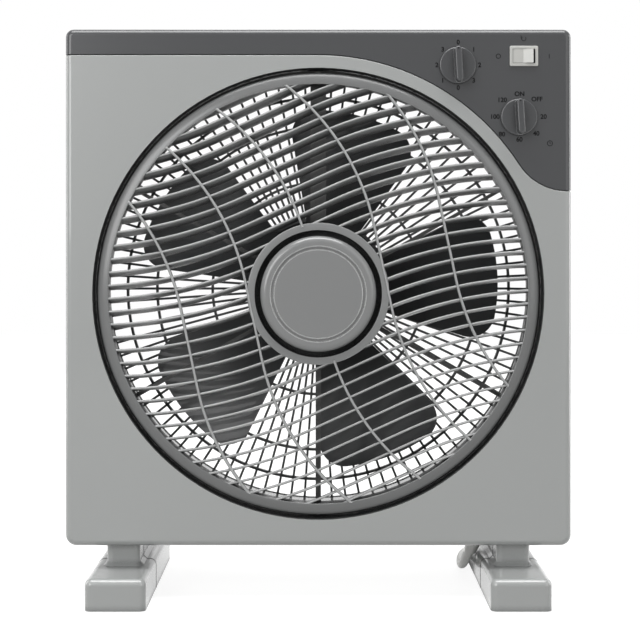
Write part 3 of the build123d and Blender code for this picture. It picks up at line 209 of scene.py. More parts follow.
def cordPoints(cord):
    # the open route, three turns in, a quarter turn up, three turns out, then the tail
    entry = math.radians(cord["entryAngle"])
    heading = Vector((-math.sin(entry), math.cos(entry), 0))
    start = Vector(cord["route"][-1]) + heading * cord["lastRun"]
    middle = start - cord["outerTurn"] * Vector((math.cos(entry), math.sin(entry), 0))
    inner = cord["outerTurn"] - cord["turns"] * cord["thickness"]
    swell = 1 / math.cos(math.pi / cord["turnPoints"])   # the spline runs a little inside its points
    low = cord["floorGap"] + cord["thickness"] / 2
    points = [Vector(p) for p in cord["route"]]
    steps = cord["turns"] * cord["turnPoints"]
    climb = cord["turnPoints"] // 4

    def onTurn(angle, radius, height):
        spot = Vector((math.cos(angle), math.sin(angle), 0)) * radius * swell
        points.append(Vector((middle.x + spot.x, middle.y + spot.y, height)))

    step = 2 * math.pi / cord["turnPoints"]
    for k in range(steps + 1):
        onTurn(entry + k * step, cord["outerTurn"] - cord["thickness"] * k / cord["turnPoints"], low)
    for k in range(1, climb):
        onTurn(entry + k * step, inner, low + cord["thickness"] * k / climb)
    for k in range(steps + 1):
        radius = inner + cord["thickness"] * k / cord["turnPoints"]
        onTurn(entry + (k + climb) * step, radius, low + cord["thickness"])
    points += [Vector(p) for p in cord["tail"]]
    return points, middle


def makeCord(cord):
    points, middle = cordPoints(cord)
    curve = bpy.data.curves.new("mainsCord", "CURVE")
    curve.dimensions = "3D"
    curve.bevel_depth = 1.0          # the points' radius carries the thickness
    curve.bevel_resolution = cord["smoothness"]
    curve.resolution_u = cord["smoothness"]
    curve.use_fill_caps = True
    spline = curve.splines.new("NURBS")
    spline.points.add(len(points) - 1)
    for spot, point in zip(spline.points, points):
        spot.co = (*point, 1)
        spot.radius = cord["thickness"] / 2
    spline.order_u = 3
    spline.use_endpoint_u = True
    return addObject("mainsCord", curve), middle


mainsCord, coilMiddle = makeCord(cordSetup)
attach(mainsCord, "housing")
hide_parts("mains_cord", "cord_coil", "cord_tail")

tieSetup = {
    "angle": -150,
    "width": 0.008,
    "thickness": 0.0006,
    "corner": 0.0032,
    "cornerSteps": 6,
}


def makeTie(tie, cord):
    # flat strap round the coil's two layers, without thickness where it lies on the table
    inner = cord["outerTurn"] - cord["turns"] * cord["thickness"] - cord["thickness"] / 2
    outer = cord["outerTurn"] + cord["thickness"] / 2
    top, low = cord["floorGap"] + 2 * cord["thickness"], cord["floorGap"]
    loop = []
    for cx, cz, start in ((outer, top, 0), (inner, top, 90), (inner, low, 180), (outer, low, 270)):
        inX = cx - math.copysign(tie["corner"], cx - (inner + outer) / 2)
        inZ = cz - math.copysign(tie["corner"], cz - (top + low) / 2)
        for k in range(tie["cornerSteps"] + 1):
            a = math.radians(start + 90 * k / tie["cornerSteps"])
            loop.append((inX + tie["corner"] * math.cos(a), inZ + tie["corner"] * math.sin(a), a))
    turn = math.radians(tie["angle"])
    across = Vector((-math.sin(turn), math.cos(turn), 0))
    outward = Vector((math.cos(turn), math.sin(turn), 0))
    verts, faces = [], []
    for radius, height, a in loop:
        lift = tie["thickness"] if height > low + tie["corner"] else 0
        for side in (-0.5, 0.5):
            for skin in (0, 1):
                reach = radius + skin * tie["thickness"] * math.cos(a)
                z = max(height + skin * lift * max(math.sin(a), 0), low)
                spot = coilMiddle + outward * reach + across * (side * tie["width"])
                verts.append((spot.x, spot.y, z))
    count = len(loop)
    for k in range(count):
        a, b = 4 * k, 4 * ((k + 1) % count)
        faces += [(a, b, b + 2, a + 2), (a + 1, a + 3, b + 3, b + 1)]
        faces += [(a, a + 1, b + 1, b), (a + 2, b + 2, b + 3, a + 3)]
    return meshObject("cordTie", verts, faces)


cordTie = makeTie(tieSetup, cordSetup)
softShade(cordTie)
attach(cordTie, "housing")
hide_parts("cord_tie")


# shared effects for the materials

print("shader groups")


def newGroup(name, inputs, outputs):
    tree = bpy.data.node_groups.new(name, "ShaderNodeTree")
    for label, kind, value in inputs:
        socket = tree.interface.new_socket(label, in_out="INPUT", socket_type=kind)
        socket.default_value = value
    for label, kind in outputs:
        tree.interface.new_socket(label, in_out="OUTPUT", socket_type=kind)
    source = tree.nodes.new("NodeGroupInput")
    target = tree.nodes.new("NodeGroupOutput")
    return tree, source, target


def node(tree, kind, **settings):
    made = tree.nodes.new(kind)
    for key, value in settings.items():
        if hasattr(made, key):
            setattr(made, key, value)
        else:
            made.inputs[key].default_value = value
    return made


def sums(tree, operation, first, second):
    made = tree.nodes.new("ShaderNodeMath")
    made.operation = operation
    for k, value in enumerate((first, second)):
        if isinstance(value, (int, float)):
            made.inputs[k].default_value = value
        else:
            tree.links.new(value, made.inputs[k])
    return made.outputs[0]


def ramp(tree, source, low, high):
    # 0 below low, 1 above high, smooth in between
    made = tree.nodes.new("ShaderNodeMapRange")
    made.interpolation_type = "SMOOTHSTEP"
    made.inputs["From Min"].default_value = low
    made.inputs["From Max"].default_value = high
    tree.links.new(source, made.inputs["Value"])
    return made.outputs["Result"]


def noise(tree, coords, scale, detail=3.0, rough=0.55):
    made = tree.nodes.new("ShaderNodeTexNoise")
    made.inputs["Detail"].default_value = detail
    made.inputs["Roughness"].default_value = rough
    tree.links.new(coords, made.inputs["Vector"])
    if isinstance(scale, (int, float)):
        made.inputs["Scale"].default_value = scale
    else:
        tree.links.new(scale, made.inputs["Scale"])
    return made.outputs["Fac"]


def blendColor(tree, factor, first, second, mode="MIX"):
    made = tree.nodes.new("ShaderNodeMix")
    made.data_type = "RGBA"
    made.blend_type = mode
    for socket, value in ((made.inputs[0], factor), (made.inputs[6], first), (made.inputs[7], second)):
        if isinstance(value, (int, float, tuple)):
            socket.default_value = value
        else:
            tree.links.new(value, socket)
    return made.outputs[2]


grainEffect = {
    "scale": 1600.0, "softness": 0.5,
    "cellSoftness": 0.6, "fineScale": 1.7, "fineDetail": 4.0,
}


def mouldGrainGroup(effect):
    # the fine sparked texture of a mould: soft cells mixed with a finer noise
    tree, source, target = newGroup(
        "mouldGrain",
        [
            ("Scale", "NodeSocketFloat", effect["scale"]),
            ("Softness", "NodeSocketFloat", effect["softness"]),
        ],
        [("Height", "NodeSocketFloat")],
    )
    coords = node(tree, "ShaderNodeTexCoord").outputs["Object"]
    cells = node(tree, "ShaderNodeTexVoronoi", feature="SMOOTH_F1")
    cells.inputs["Smoothness"].default_value = effect["cellSoftness"]
    tree.links.new(coords, cells.inputs["Vector"])
    tree.links.new(source.outputs["Scale"], cells.inputs["Scale"])
    fineScale = sums(tree, "MULTIPLY", source.outputs["Scale"], effect["fineScale"])
    fine = noise(tree, coords, fineScale, effect["fineDetail"])
    mixed = tree.nodes.new("ShaderNodeMix")
    tree.links.new(source.outputs["Softness"], mixed.inputs[0])
    tree.links.new(cells.outputs["Distance"], mixed.inputs[2])
    tree.links.new(fine, mixed.inputs[3])
    tree.links.new(mixed.outputs[0], target.inputs["Height"])
    return tree


driftEffect = {
    "scale": 9.0, "speckle": 0.15,
    "stretch": (1.0, 1.0, 0.45), "wideDetail": 1.5, "wide": (0.15, 0.85), "wideShare": 0.85,
    "speckScale": 60, "speckDetail": 2.0, "specks": (0.55, 0.75),
}


def toneDriftGroup(effect):
    # slow change of tone through the moulding, with small specks
    tree, source, target = newGroup(
        "toneDrift",
        [
            ("Color", "NodeSocketColor", (0.5, 0.5, 0.5, 1)),
            ("Other", "NodeSocketColor", (0.45, 0.45, 0.45, 1)),
            ("Scale", "NodeSocketFloat", effect["scale"]),
            ("Speckle", "NodeSocketFloat", effect["speckle"]),
        ],
        [("Color", "NodeSocketColor")],
    )
    coords = node(tree, "ShaderNodeTexCoord").outputs["Object"]
    stretch = node(tree, "ShaderNodeMapping")
    stretch.inputs["Scale"].default_value = effect["stretch"]
    tree.links.new(coords, stretch.inputs["Vector"])
    broad = noise(tree, stretch.outputs["Vector"], source.outputs["Scale"], effect["wideDetail"])
    wide = sums(tree, "MULTIPLY", ramp(tree, broad, *effect["wide"]), effect["wideShare"])
    speckScale = sums(tree, "MULTIPLY", source.outputs["Scale"], effect["speckScale"])
    specks = ramp(tree, noise(tree, coords, speckScale, effect["speckDetail"]), *effect["specks"])
    mask = sums(tree, "ADD", wide, sums(tree, "MULTIPLY", specks, source.outputs["Speckle"]))
    mixed = blendColor(tree, mask, source.outputs["Color"], source.outputs["Other"])
    tree.links.new(mixed, target.inputs["Color"])
    return tree


wearAndHighlightEffect = {
    "width": 0.001, "breakUp": 260.0,
    "edge": (0.01, 0.2), "samples": 4,
    "patchDetail": 5.0, "patchRough": 0.65, "patches": (0.3, 0.7), "patchShare": 0.35,
}


def edgeWearAndHighlightGroup(effect):
    # rubbed corners and painted edge highlights: where the rounded normal leaves the surface's own
    tree, source, target = newGroup(
        "edgeWearAndHighlight",
        [("Width", "NodeSocketFloat", effect["width"]), ("Break Up", "NodeSocketFloat", effect["breakUp"])],
        [("Mask", "NodeSocketFloat")],
    )
    geometry = node(tree, "ShaderNodeNewGeometry")
    rounder = node(tree, "ShaderNodeBevel", samples=effect["samples"])
    tree.links.new(source.outputs["Width"], rounder.inputs["Radius"])
    dot = tree.nodes.new("ShaderNodeVectorMath")
    dot.operation = "DOT_PRODUCT"
    tree.links.new(rounder.outputs["Normal"], dot.inputs[0])
    tree.links.new(geometry.outputs["Normal"], dot.inputs[1])
    edge = ramp(tree, sums(tree, "SUBTRACT", 1.0, dot.outputs["Value"]), *effect["edge"])
    coords = node(tree, "ShaderNodeTexCoord").outputs["Object"]
    patches = noise(tree, coords, source.outputs["Break Up"], effect["patchDetail"], effect["patchRough"])
    patchy = sums(tree, "MULTIPLY", ramp(tree, patches, *effect["patches"]), effect["patchShare"])
    broken = sums(tree, "ADD", patchy, 1 - effect["patchShare"])
    tree.links.new(sums(tree, "MULTIPLY", edge, broken), target.inputs["Mask"])
    return tree


dustEffect = {
    "amount": 0.1, "scale": 45.0,
    "detail": 6.0, "rough": 0.7, "patches": (0.35, 0.7), "facing": (0.35, 0.95),
}


def dustGroup(effect):
    # a thin film that settles on whatever faces up
    tree, source, target = newGroup(
        "settledDust",
        [("Amount", "NodeSocketFloat", effect["amount"]), ("Scale", "NodeSocketFloat", effect["scale"])],
        [("Mask", "NodeSocketFloat")],
    )
    split = node(tree, "ShaderNodeSeparateXYZ")
    tree.links.new(node(tree, "ShaderNodeNewGeometry").outputs["Normal"], split.inputs[0])
    coords = node(tree, "ShaderNodeTexCoord").outputs["Object"]
    clouds = noise(tree, coords, source.outputs["Scale"], effect["detail"], effect["rough"])
    patches = ramp(tree, clouds, *effect["patches"])
    facing = ramp(tree, split.outputs["Z"], *effect["facing"])
    film = sums(tree, "MULTIPLY", sums(tree, "MULTIPLY", facing, patches), source.outputs["Amount"])
    tree.links.new(film, target.inputs["Mask"])
    return tree


rubEffect = {
    "base": 0.3, "spread": 0.08, "scale": 30.0, "scuffs": 0.1,
    "smearDetail": 5.0, "smearRough": 0.6,
    "hairTurn": (0.5, 0.9, 0.3), "hairStretch": (1.0, 14.0, 14.0), "hairScale": 2.5, "hairs": (0.7, 0.76),
}


def rubMarksGroup(effect):
    # hairline scuffs and finger smears that only change how the gloss breaks up
    tree, source, target = newGroup(
        "rubMarks",
        [
            ("Base", "NodeSocketFloat", effect["base"]),
            ("Spread", "NodeSocketFloat", effect["spread"]),
            ("Scale", "NodeSocketFloat", effect["scale"]),
            ("Scuffs", "NodeSocketFloat", effect["scuffs"]),
        ],
        [("Roughness", "NodeSocketFloat")],
    )
    coords = node(tree, "ShaderNodeTexCoord").outputs["Object"]
    smear = noise(tree, coords, source.outputs["Scale"], effect["smearDetail"], effect["smearRough"])
    turned = node(tree, "ShaderNodeMapping")
    turned.inputs["Rotation"].default_value = effect["hairTurn"]
    turned.inputs["Scale"].default_value = effect["hairStretch"]
    tree.links.new(coords, turned.inputs["Vector"])
    hairScale = sums(tree, "MULTIPLY", source.outputs["Scale"], effect["hairScale"])
    scuff = ramp(tree, noise(tree, turned.outputs["Vector"], hairScale), *effect["hairs"])
    fromMiddle = sums(tree, "SUBTRACT", smear, 0.5)
    wide = sums(tree, "MULTIPLY", fromMiddle, source.outputs["Spread"])
    lines = sums(tree, "MULTIPLY", scuff, source.outputs["Scuffs"])
    rough = sums(tree, "ADD", sums(tree, "ADD", source.outputs["Base"], wide), lines)
    tree.links.new(rough, target.inputs["Roughness"])
    return tree


creviceEffect = {"reach": 0.012, "depth": 0.6, "samples": 4, "closed": (0.25, 0.75)}


def creviceGroup(effect):
    # painted shade: a mask for darkening the colour where little light reaches, in narrow gaps and deep
    # corners
    tree, source, target = newGroup(
        "paintedCreviceShade",
        [("Reach", "NodeSocketFloat", effect["reach"]), ("Depth", "NodeSocketFloat", effect["depth"])],
        [("Mask", "NodeSocketFloat")],
    )
    hidden = node(tree, "ShaderNodeAmbientOcclusion", samples=effect["samples"])
    tree.links.new(source.outputs["Reach"], hidden.inputs["Distance"])
    closed = ramp(tree, sums(tree, "SUBTRACT", 1.0, hidden.outputs["AO"]), *effect["closed"])
    tree.links.new(sums(tree, "MULTIPLY", closed, source.outputs["Depth"]), target.inputs["Mask"])
    return tree


brushEffect = {"scale": 900.0, "stretch": (1.0, 0.03, 1.0), "lines": (0.4, 0.65)}


def brushedGroup(effect):
    # drawn or turned metal: fine lines along one direction
    tree, source, target = newGroup(
        "brushedLines",
        [("Scale", "NodeSocketFloat", effect["scale"]), ("Stretch", "NodeSocketVector", effect["stretch"])],
        [("Height", "NodeSocketFloat"), ("Mask", "NodeSocketFloat")],
    )
    coords = node(tree, "ShaderNodeTexCoord").outputs["Object"]
    along = tree.nodes.new("ShaderNodeVectorMath")
    along.operation = "MULTIPLY"
    tree.links.new(coords, along.inputs[0])
    tree.links.new(source.outputs["Stretch"], along.inputs[1])
    lines = noise(tree, along.outputs["Vector"], source.outputs["Scale"])
    tree.links.new(lines, target.inputs["Height"])
    tree.links.new(ramp(tree, lines, *effect["lines"]), target.inputs["Mask"])
    return tree


groups = {
    "grain": mouldGrainGroup(grainEffect),
    "drift": toneDriftGroup(driftEffect),
    "wearAndHighlight": edgeWearAndHighlightGroup(wearAndHighlightEffect),
    "dust": dustGroup(dustEffect),
    "rub": rubMarksGroup(rubEffect),
    "paintedShade": creviceGroup(creviceEffect),
    "brushed": brushedGroup(brushEffect),
}


def placeGroup(tree, key, **values):
    made = tree.nodes.new("ShaderNodeGroup")
    made.node_tree = groups[key]
    for label, value in values.items():
        made.inputs[label.replace("_", " ")].default_value = value
    return made


def startMaterial(name, look):
    material = bpy.data.materials.new(name)
    material.use_nodes = True
    tree = material.node_tree
    shader = tree.nodes["Principled BSDF"]
    for label, value in look.get("sockets", {}).items():
        shader.inputs[label].default_value = value
    return material, tree, shader


def plastic(name, look):
    material, tree, shader = startMaterial(name, look)
    drift = placeGroup(tree, "drift", Color=tone(*look["color"]), Other=tone(*look["other"]),
                       Scale=look["driftScale"], Speckle=look["speckle"])
    wearAndHighlight = placeGroup(tree, "wearAndHighlight", Width=look["wearAndHighlightWidth"])
    dust = placeGroup(tree, "dust", Amount=look["dust"])
    rub = placeGroup(tree, "rub", Base=look["rough"], Spread=look["roughSpread"], Scuffs=look["scuffs"])
    grain = placeGroup(tree, "grain", Scale=look["grainScale"], Softness=look["grainSoft"])
    # partly rubbed wear, partly painted highlight: edges turn toward a pale colour that draws light lines
    wornAndHighlighted = blendColor(tree, sums(tree, "MULTIPLY", wearAndHighlight.outputs["Mask"], look["wearAndHighlight"]),
                      drift.outputs["Color"], tone(*look["wornAndHighlightColor"]))
    dusty = blendColor(tree, dust.outputs["Mask"], wornAndHighlighted, tone(*look["dustColor"]))
    # painted shade: the colour darkens toward a near-black in gaps and deep corners
    paintedShade = placeGroup(tree, "paintedShade", Reach=look["creviceReach"], Depth=look["paintedShade"])
    shaded = blendColor(tree, paintedShade.outputs["Mask"], dusty, tone(*look["paintedShadeColor"]))
    tree.links.new(shaded, shader.inputs["Base Color"])
    dustDull = sums(tree, "MULTIPLY", dust.outputs["Mask"], look["dustDull"])
    deepDull = sums(tree, "MULTIPLY", paintedShade.outputs["Mask"], look["deepDull"])
    dull = sums(tree, "ADD", rub.outputs["Roughness"], dustDull)
    dull = sums(tree, "ADD", dull, deepDull)
    tree.links.new(dull, shader.inputs["Roughness"])
    bare = sums(tree, "SUBTRACT", 1.0, paintedShade.outputs["Mask"])
    tree.links.new(sums(tree, "MULTIPLY", bare, look["coat"]), shader.inputs["Coat Weight"])
    bump = node(tree, "ShaderNodeBump", Strength=look["grainStrength"], Distance=look["grainDepth"])
    tree.links.new(grain.outputs["Height"], bump.inputs["Height"])
    tree.links.new(bump.outputs["Normal"], shader.inputs["Normal"])
    return material


def metal(name, look):
    material, tree, shader = startMaterial(name, look)
    drift = placeGroup(tree, "drift", Color=tone(*look["color"]), Other=tone(*look["other"]),
                       Scale=look["driftScale"], Speckle=look["speckle"])
    lines = placeGroup(tree, "brushed", Scale=look["lineScale"], Stretch=look["stretch"])
    wearAndHighlight = placeGroup(tree, "wearAndHighlight", Width=look["wearAndHighlightWidth"])
    rub = placeGroup(tree, "rub", Base=look["rough"], Spread=look["roughSpread"], Scuffs=look["scuffs"])
    # partly rubbed wear, partly painted highlight: edges turn toward a pale colour that draws light lines
    wornAndHighlighted = blendColor(tree, sums(tree, "MULTIPLY", wearAndHighlight.outputs["Mask"], look["wearAndHighlight"]),
                      drift.outputs["Color"], tone(*look["wornAndHighlightColor"]))
    # painted shade: the colour darkens toward a near-black in gaps and deep corners
    paintedShade = placeGroup(tree, "paintedShade", Reach=look["creviceReach"], Depth=look["paintedShade"])
    shaded = blendColor(tree, paintedShade.outputs["Mask"], wornAndHighlighted, tone(*look["paintedShadeColor"]))
    tree.links.new(shaded, shader.inputs["Base Color"])
    lineDull = sums(tree, "MULTIPLY", lines.outputs["Mask"], look["lineDull"])
    rough = sums(tree, "ADD", rub.outputs["Roughness"], lineDull)
    tree.links.new(rough, shader.inputs["Roughness"])
    bump = node(tree, "ShaderNodeBump", Strength=look["lineStrength"], Distance=look["lineDepth"])
    tree.links.new(lines.outputs["Height"], bump.inputs["Height"])
    tree.links.new(bump.outputs["Normal"], shader.inputs["Normal"])
    return material


# finishes

print("finishes")
plasticBase = {
    "color": (159, 161, 160), "other": (156, 158, 157), "wornAndHighlightColor": (186, 187, 185),
    "driftScale": 4.0, "speckle": 0.0, "wearAndHighlight": 0.3, "wearAndHighlightWidth": 0.0006, "dust": 0.0,
    "rough": 0.3, "roughSpread": 0.02, "scuffs": 0.0,
    "grainScale": 1500.0, "grainSoft": 0.5, "grainStrength": 0.08, "grainDepth": 0.00005,
    "creviceReach": 0.012, "paintedShade": 0.95, "paintedShadeColor": (18, 18, 19), "deepDull": 0.6,
    "dustColor": (214, 213, 209), "dustDull": 0.5,
    "coat": 0.2, "sockets": {"IOR": 1.47},
}
metalBase = {
    "color": (150, 150, 148), "other": (128, 128, 127), "wornAndHighlightColor": (200, 200, 198),
    "driftScale": 22.0, "speckle": 0.2, "wearAndHighlight": 0.5, "wearAndHighlightWidth": 0.0006,
    "rough": 0.34, "roughSpread": 0.16, "scuffs": 0.12,
    "lineScale": 900.0, "stretch": (1.0, 0.03, 1.0), "lineStrength": 0.2, "lineDepth": 0.00005,
    "lineDull": 0.08, "creviceReach": 0.012, "paintedShade": 0.8, "paintedShadeColor": (20, 20, 21),
    "sockets": {"Metallic": 1.0},
}
plastics = {
    # a pale edge colour: rubbed wear plus painted highlight lines along the opening's lip and the edges
    "housing_grey": {
        "wearAndHighlight": 0.6, "wornAndHighlightColor": (216, 217, 215), "coat": 0.6, "rough": 0.24,
        "sockets": {"IOR": 1.5, "Coat Roughness": 0.06},
    },
    "panel_dark": {
        "color": (62, 63, 65), "other": (57, 58, 60), "wornAndHighlightColor": (96, 97, 98),
        "rough": 0.24, "grainStrength": 0.06, "sockets": {"IOR": 1.5, "Coat Roughness": 0.1},
    },
    # painted highlight lines on the hub ring's edges, and a longer, darker painted shade in the gap round
    # the cap
    "louver_grey": {
        "color": (126, 127, 127), "other": (121, 122, 122), "wornAndHighlightColor": (222, 223, 222),
        "wearAndHighlight": 1.0, "wearAndHighlightWidth": 0.0010, "coat": 0.5,
        "paintedShade": 1.0, "paintedShadeColor": (14, 14, 15), "creviceReach": 0.016,
        "rough": 0.3, "sockets": {"IOR": 1.5, "Coat Roughness": 0.15},
    },
    "guard_grey": {
        "color": (98, 99, 99), "other": (90, 91, 91), "wornAndHighlightColor": (140, 140, 139), "rough": 0.36,
    },
    "blade_dark": {
        "color": (74, 75, 76), "other": (69, 70, 71), "wornAndHighlightColor": (100, 101, 102), "paintedShade": 0.3,
        "rough": 0.34, "dust": 0.04, "driftScale": 14.0,
    },
    # a pale edge colour at full strength: painted highlight lines round the knob bars
    "knob_dark": {
        "color": (62, 63, 65), "other": (58, 59, 61), "wornAndHighlightColor": (178, 179, 180),
        "rough": 0.26, "wearAndHighlight": 1.0, "wearAndHighlightWidth": 0.0013, "grainStrength": 0.08, "sockets": {"IOR": 1.5},
    },
    "white_plastic": {
        "color": (190, 190, 186), "other": (185, 185, 181), "wornAndHighlightColor": (208, 208, 205), "paintedShade": 0.5,
        "rough": 0.24, "grainStrength": 0.06, "sockets": {"IOR": 1.5},
    },
    "switch_black": {
        "color": (40, 40, 41), "other": (34, 34, 35), "wornAndHighlightColor": (80, 80, 80), "rough": 0.42,
    },
    "white_cord": {
        "color": (238, 238, 235), "other": (233, 233, 229), "wornAndHighlightColor": (242, 242, 240),
        "rough": 0.42, "driftScale": 30.0, "grainScale": 900.0, "grainStrength": 0.2, "paintedShade": 0.2,
    },
    "pad_rubber": {
        "color": (38, 38, 39), "other": (30, 30, 31), "wornAndHighlightColor": (78, 78, 77),
        "rough": 0.72, "roughSpread": 0.2, "grainScale": 1100.0, "grainStrength": 0.5,
    },
    "capacitor_white": {
        "color": (212, 211, 204), "other": (203, 202, 194), "wornAndHighlightColor": (224, 223, 218), "rough": 0.35,
    },
}
metals = {
    "motor_cast": {
        "color": (146, 147, 147), "other": (122, 123, 124), "rough": 0.5, "roughSpread": 0.25,
        "lineScale": 1300.0, "stretch": (1.0, 1.0, 1.0), "lineStrength": 0.6, "lineDepth": 0.00012,
    },
    # full painted shade: the ring goes dark where it sits in the narrow gap round the louver
    "bridge_steel": {
        "color": (118, 118, 117), "other": (106, 106, 105), "wornAndHighlightColor": (150, 150, 148), "rough": 0.5,
        "wearAndHighlight": 0.2, "paintedShade": 1.0, "stretch": (1.0, 1.0, 0.04), "sockets": {"Metallic": 0.2},
    },
    "core_steel": {
        "color": (112, 113, 114), "other": (84, 85, 87), "rough": 0.44,
        "lineScale": 1500.0, "stretch": (0.02, 1.0, 0.02), "lineStrength": 0.9, "lineDepth": 0.0002,
    },
    "winding_copper": {
        "color": (176, 98, 56), "other": (136, 70, 38), "wornAndHighlightColor": (214, 138, 92), "rough": 0.32,
        "lineScale": 1200.0, "stretch": (0.08, 0.08, 1.0), "lineStrength": 1.0, "lineDepth": 0.0003,
    },
    "bush_bronze": {"color": (158, 124, 74), "other": (132, 100, 58), "wornAndHighlightColor": (196, 166, 112)},
    "shaft_steel": {
        "color": (172, 173, 174), "other": (152, 153, 155), "rough": 0.22, "stretch": (1.0, 20.0, 1.0),
    },
    "screw_steel": {
        "color": (150, 150, 149), "other": (118, 118, 118), "rough": 0.3, "stretch": (1.0, 0.2, 1.0),
    },
    "pin_brass": {
        "color": (196, 170, 104), "other": (172, 146, 84), "wornAndHighlightColor": (222, 202, 148), "rough": 0.24,
    },
}
# copies of the louver's finish that share its slot, with painted light and shade: the slats painted
# lighter, the rim painted darker, the cap with painted highlight lines on its edges
plastics["louver_slats"] = {
    **plastics["louver_grey"],
    "color": (164, 165, 165), "other": (158, 159, 159), "wornAndHighlightColor": (200, 201, 200),
    "rough": 0.24, "paintedShade": 0.9, "creviceReach": 0.014,
}
plastics["louver_rim"] = {
    **plastics["louver_grey"],
    "color": (102, 103, 103), "other": (98, 99, 99), "wornAndHighlightColor": (226, 227, 226),
    "paintedShade": 0.7, "wearAndHighlight": 1.0, "wearAndHighlightWidth": 0.0008,
}
plastics["louver_cap"] = {
    **plastics["louver_grey"], "wornAndHighlightColor": (232, 233, 232), "creviceReach": 0.010, "paintedShade": 0.9,
    "wearAndHighlight": 1.0, "wearAndHighlightWidth": 0.0014, "rough": 0.2,
}
finish = {}
for name, look in plastics.items():
    finish[name] = plastic(name, {**plasticBase, **look})
for name, look in metals.items():
    finish[name] = metal(name, {**metalBase, **look})

nodeFinish = {}
for entry in frame["record"]["materials"]:
    for nodeName in entry.get("nodes", []):
        nodeFinish[nodeName] = entry["slot"]


def wearFinish(obj, slotName):
    obj.data.materials.clear()
    obj.data.materials.append(finish[slotName])


for name, obj in frame["nodes"].items():
    slotName = nodeFinish.get(name)
    if slotName is None:
        slotName = obj.material_slots[0].material.name.split(".")[0]
    if slotName not in finish:
        print("no finish for", name, slotName)
        continue
    wearFinish(obj, slotName)
wearFinish(frame["nodes"]["hub_cap"], "louver_cap")
wearFinish(mainsCord, "white_cord")
wearFinish(cordTie, "pad_rubber")


# louver

print("louver")
grilleLow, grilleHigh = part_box("louver_grille")
ringHeight = (grilleLow.z + grilleHigh.z) / 2
louverSetup = {
    "rimOuter": 0.1632, "rimInner": 0.155, "depth": 0.013, "skin": 0.002, "crown": 0.0008, "tilt": 0.0028,
    "hubOuter": 0.0525, "hubWidth": 0.0056, "bossRadius": 0.007, "bossLength": 0.006, "bore": 0.0035,
    "front": -0.058, "rimEdge": 0.0006, "hubEdge": 0.0005, "edgeSteps": 3, "edgeAngle": 40, "smooth": 38,
}
trimSetup = {                     # slats and ribs end a little inside the hub and the rim
    "intoHub": 0.002, "intoRim": 0.001, "front": -0.0625, "back": -0.0445, "steps": 256,
}
slatSetup = {
    "pitch": 0.00946, "lean": 0.00299, "offset": -0.0006, "eachSide": 18,
    "slope": 24.5, "straight": 0.0322, "bend": 0.310, "bendAngle": 27,
    "thickness": 0.0017, "tail": 0.0011, "depth": 0.0126, "setBack": 0.0003,
    "fall": 0.208, "fallUp": 0.73, "fallSide": -0.32, "camber": 0.7,
}
ribSetup = {
    "stepX": 0.04775, "stepZ": 0.020, "eachSide": 2, "lean": 12,
    "straight": 0.030, "bend": 0.180, "bendAngle": 52,
    "width": 0.0019, "depth": 0.0046, "proud": 0.0006,
}


def curvedLine(middle, heading, straight, bend, bendAngle, straightSteps=5, steps=26):
    # a straight middle that runs into an arc at each end, the two ends alike by half a turn
    start = math.radians(heading)
    turn = math.radians(bendAngle)
    half = [(0.0, 0.0)]
    for k in range(1, straightSteps + 1):
        run = straight * k / straightSteps
        half.append((run * math.cos(start), run * math.sin(start)))
    side = math.copysign(1, turn)
    cx, cz = half[-1][0] - side * bend * math.sin(start), half[-1][1] + side * bend * math.cos(start)
    for k in range(1, steps + 1):
        a = start + turn * k / steps
        half.append((cx + side * bend * math.sin(a), cz - side * bend * math.cos(a)))
    line = [(-x, -z) for x, z in reversed(half[1:])] + half
    return [(middle[0] + x, ringHeight + middle[1] + z) for x, z in line]


def roundNose(half, steps=8):
    loop = []
    for k in range(steps + 1):
        a = math.radians(90 - 180 * k / steps)
        loop.append((half * math.sin(a), half * (1 - math.cos(a)), 0.0))
    return loop


def slatSection(slat):
    # thin cambered blade with a round nose: steep behind the nose, level at the back
    half, depth = slat["thickness"] / 2, slat["depth"]
    loop = roundNose(half)
    shares = [0.2, 0.35, 0.5, 0.65, 0.8, 1.0]
    under = [(-half + (half - slat["tail"] / 2) * t, t * depth, t) for t in shares]
    over = [(-across, back, t) for across, back, t in reversed(under)]
    camber = slat["camber"]
    return [(across, back, (1 + camber) * t - camber * t * t) for across, back, t in loop + under + over]


def slatFall(x, z):
    # the slats lean more towards the top of the ring
    slat = slatSetup
    return slat["depth"] * (slat["fall"] + slat["fallUp"] * (z - ringHeight) + slat["fallSide"] * x)


def ribSection(rib):
    half = rib["width"] / 2
    return roundNose(half) + [(-half, rib["depth"], 0.0), (half, rib["depth"], 0.0)]


def level(x, z):
    # for ribs and printed lines, which don't lean
    return 0.0


def trimTube(trim, louver):
    inner, outer = louver["hubOuter"] - trim["intoHub"], louver["rimInner"] + trim["intoRim"]
    front, back = trim["front"], trim["back"]
    profile = [(inner, front), (outer, front), (outer, back), (inner, back)]
    return lathe("cutter", profile, ringHeight, trim["steps"])


slatLines = []
for k in range(-slatSetup["eachSide"], slatSetup["eachSide"] + 1):
    middle = (-slatSetup["lean"] * k, slatSetup["offset"] + slatSetup["pitch"] * k)
    slatLines.append(curvedLine(
        middle, slatSetup["slope"], slatSetup["straight"], slatSetup["bend"], -slatSetup["bendAngle"],
    ))
slatFront = louverSetup["front"] + slatSetup["setBack"]
slats = sweep("louverSlats", slatLines, slatFront, slatSection(slatSetup), slatFall)
cutter = trimTube(trimSetup, louverSetup)
cutBy(slats, cutter, "INTERSECT")

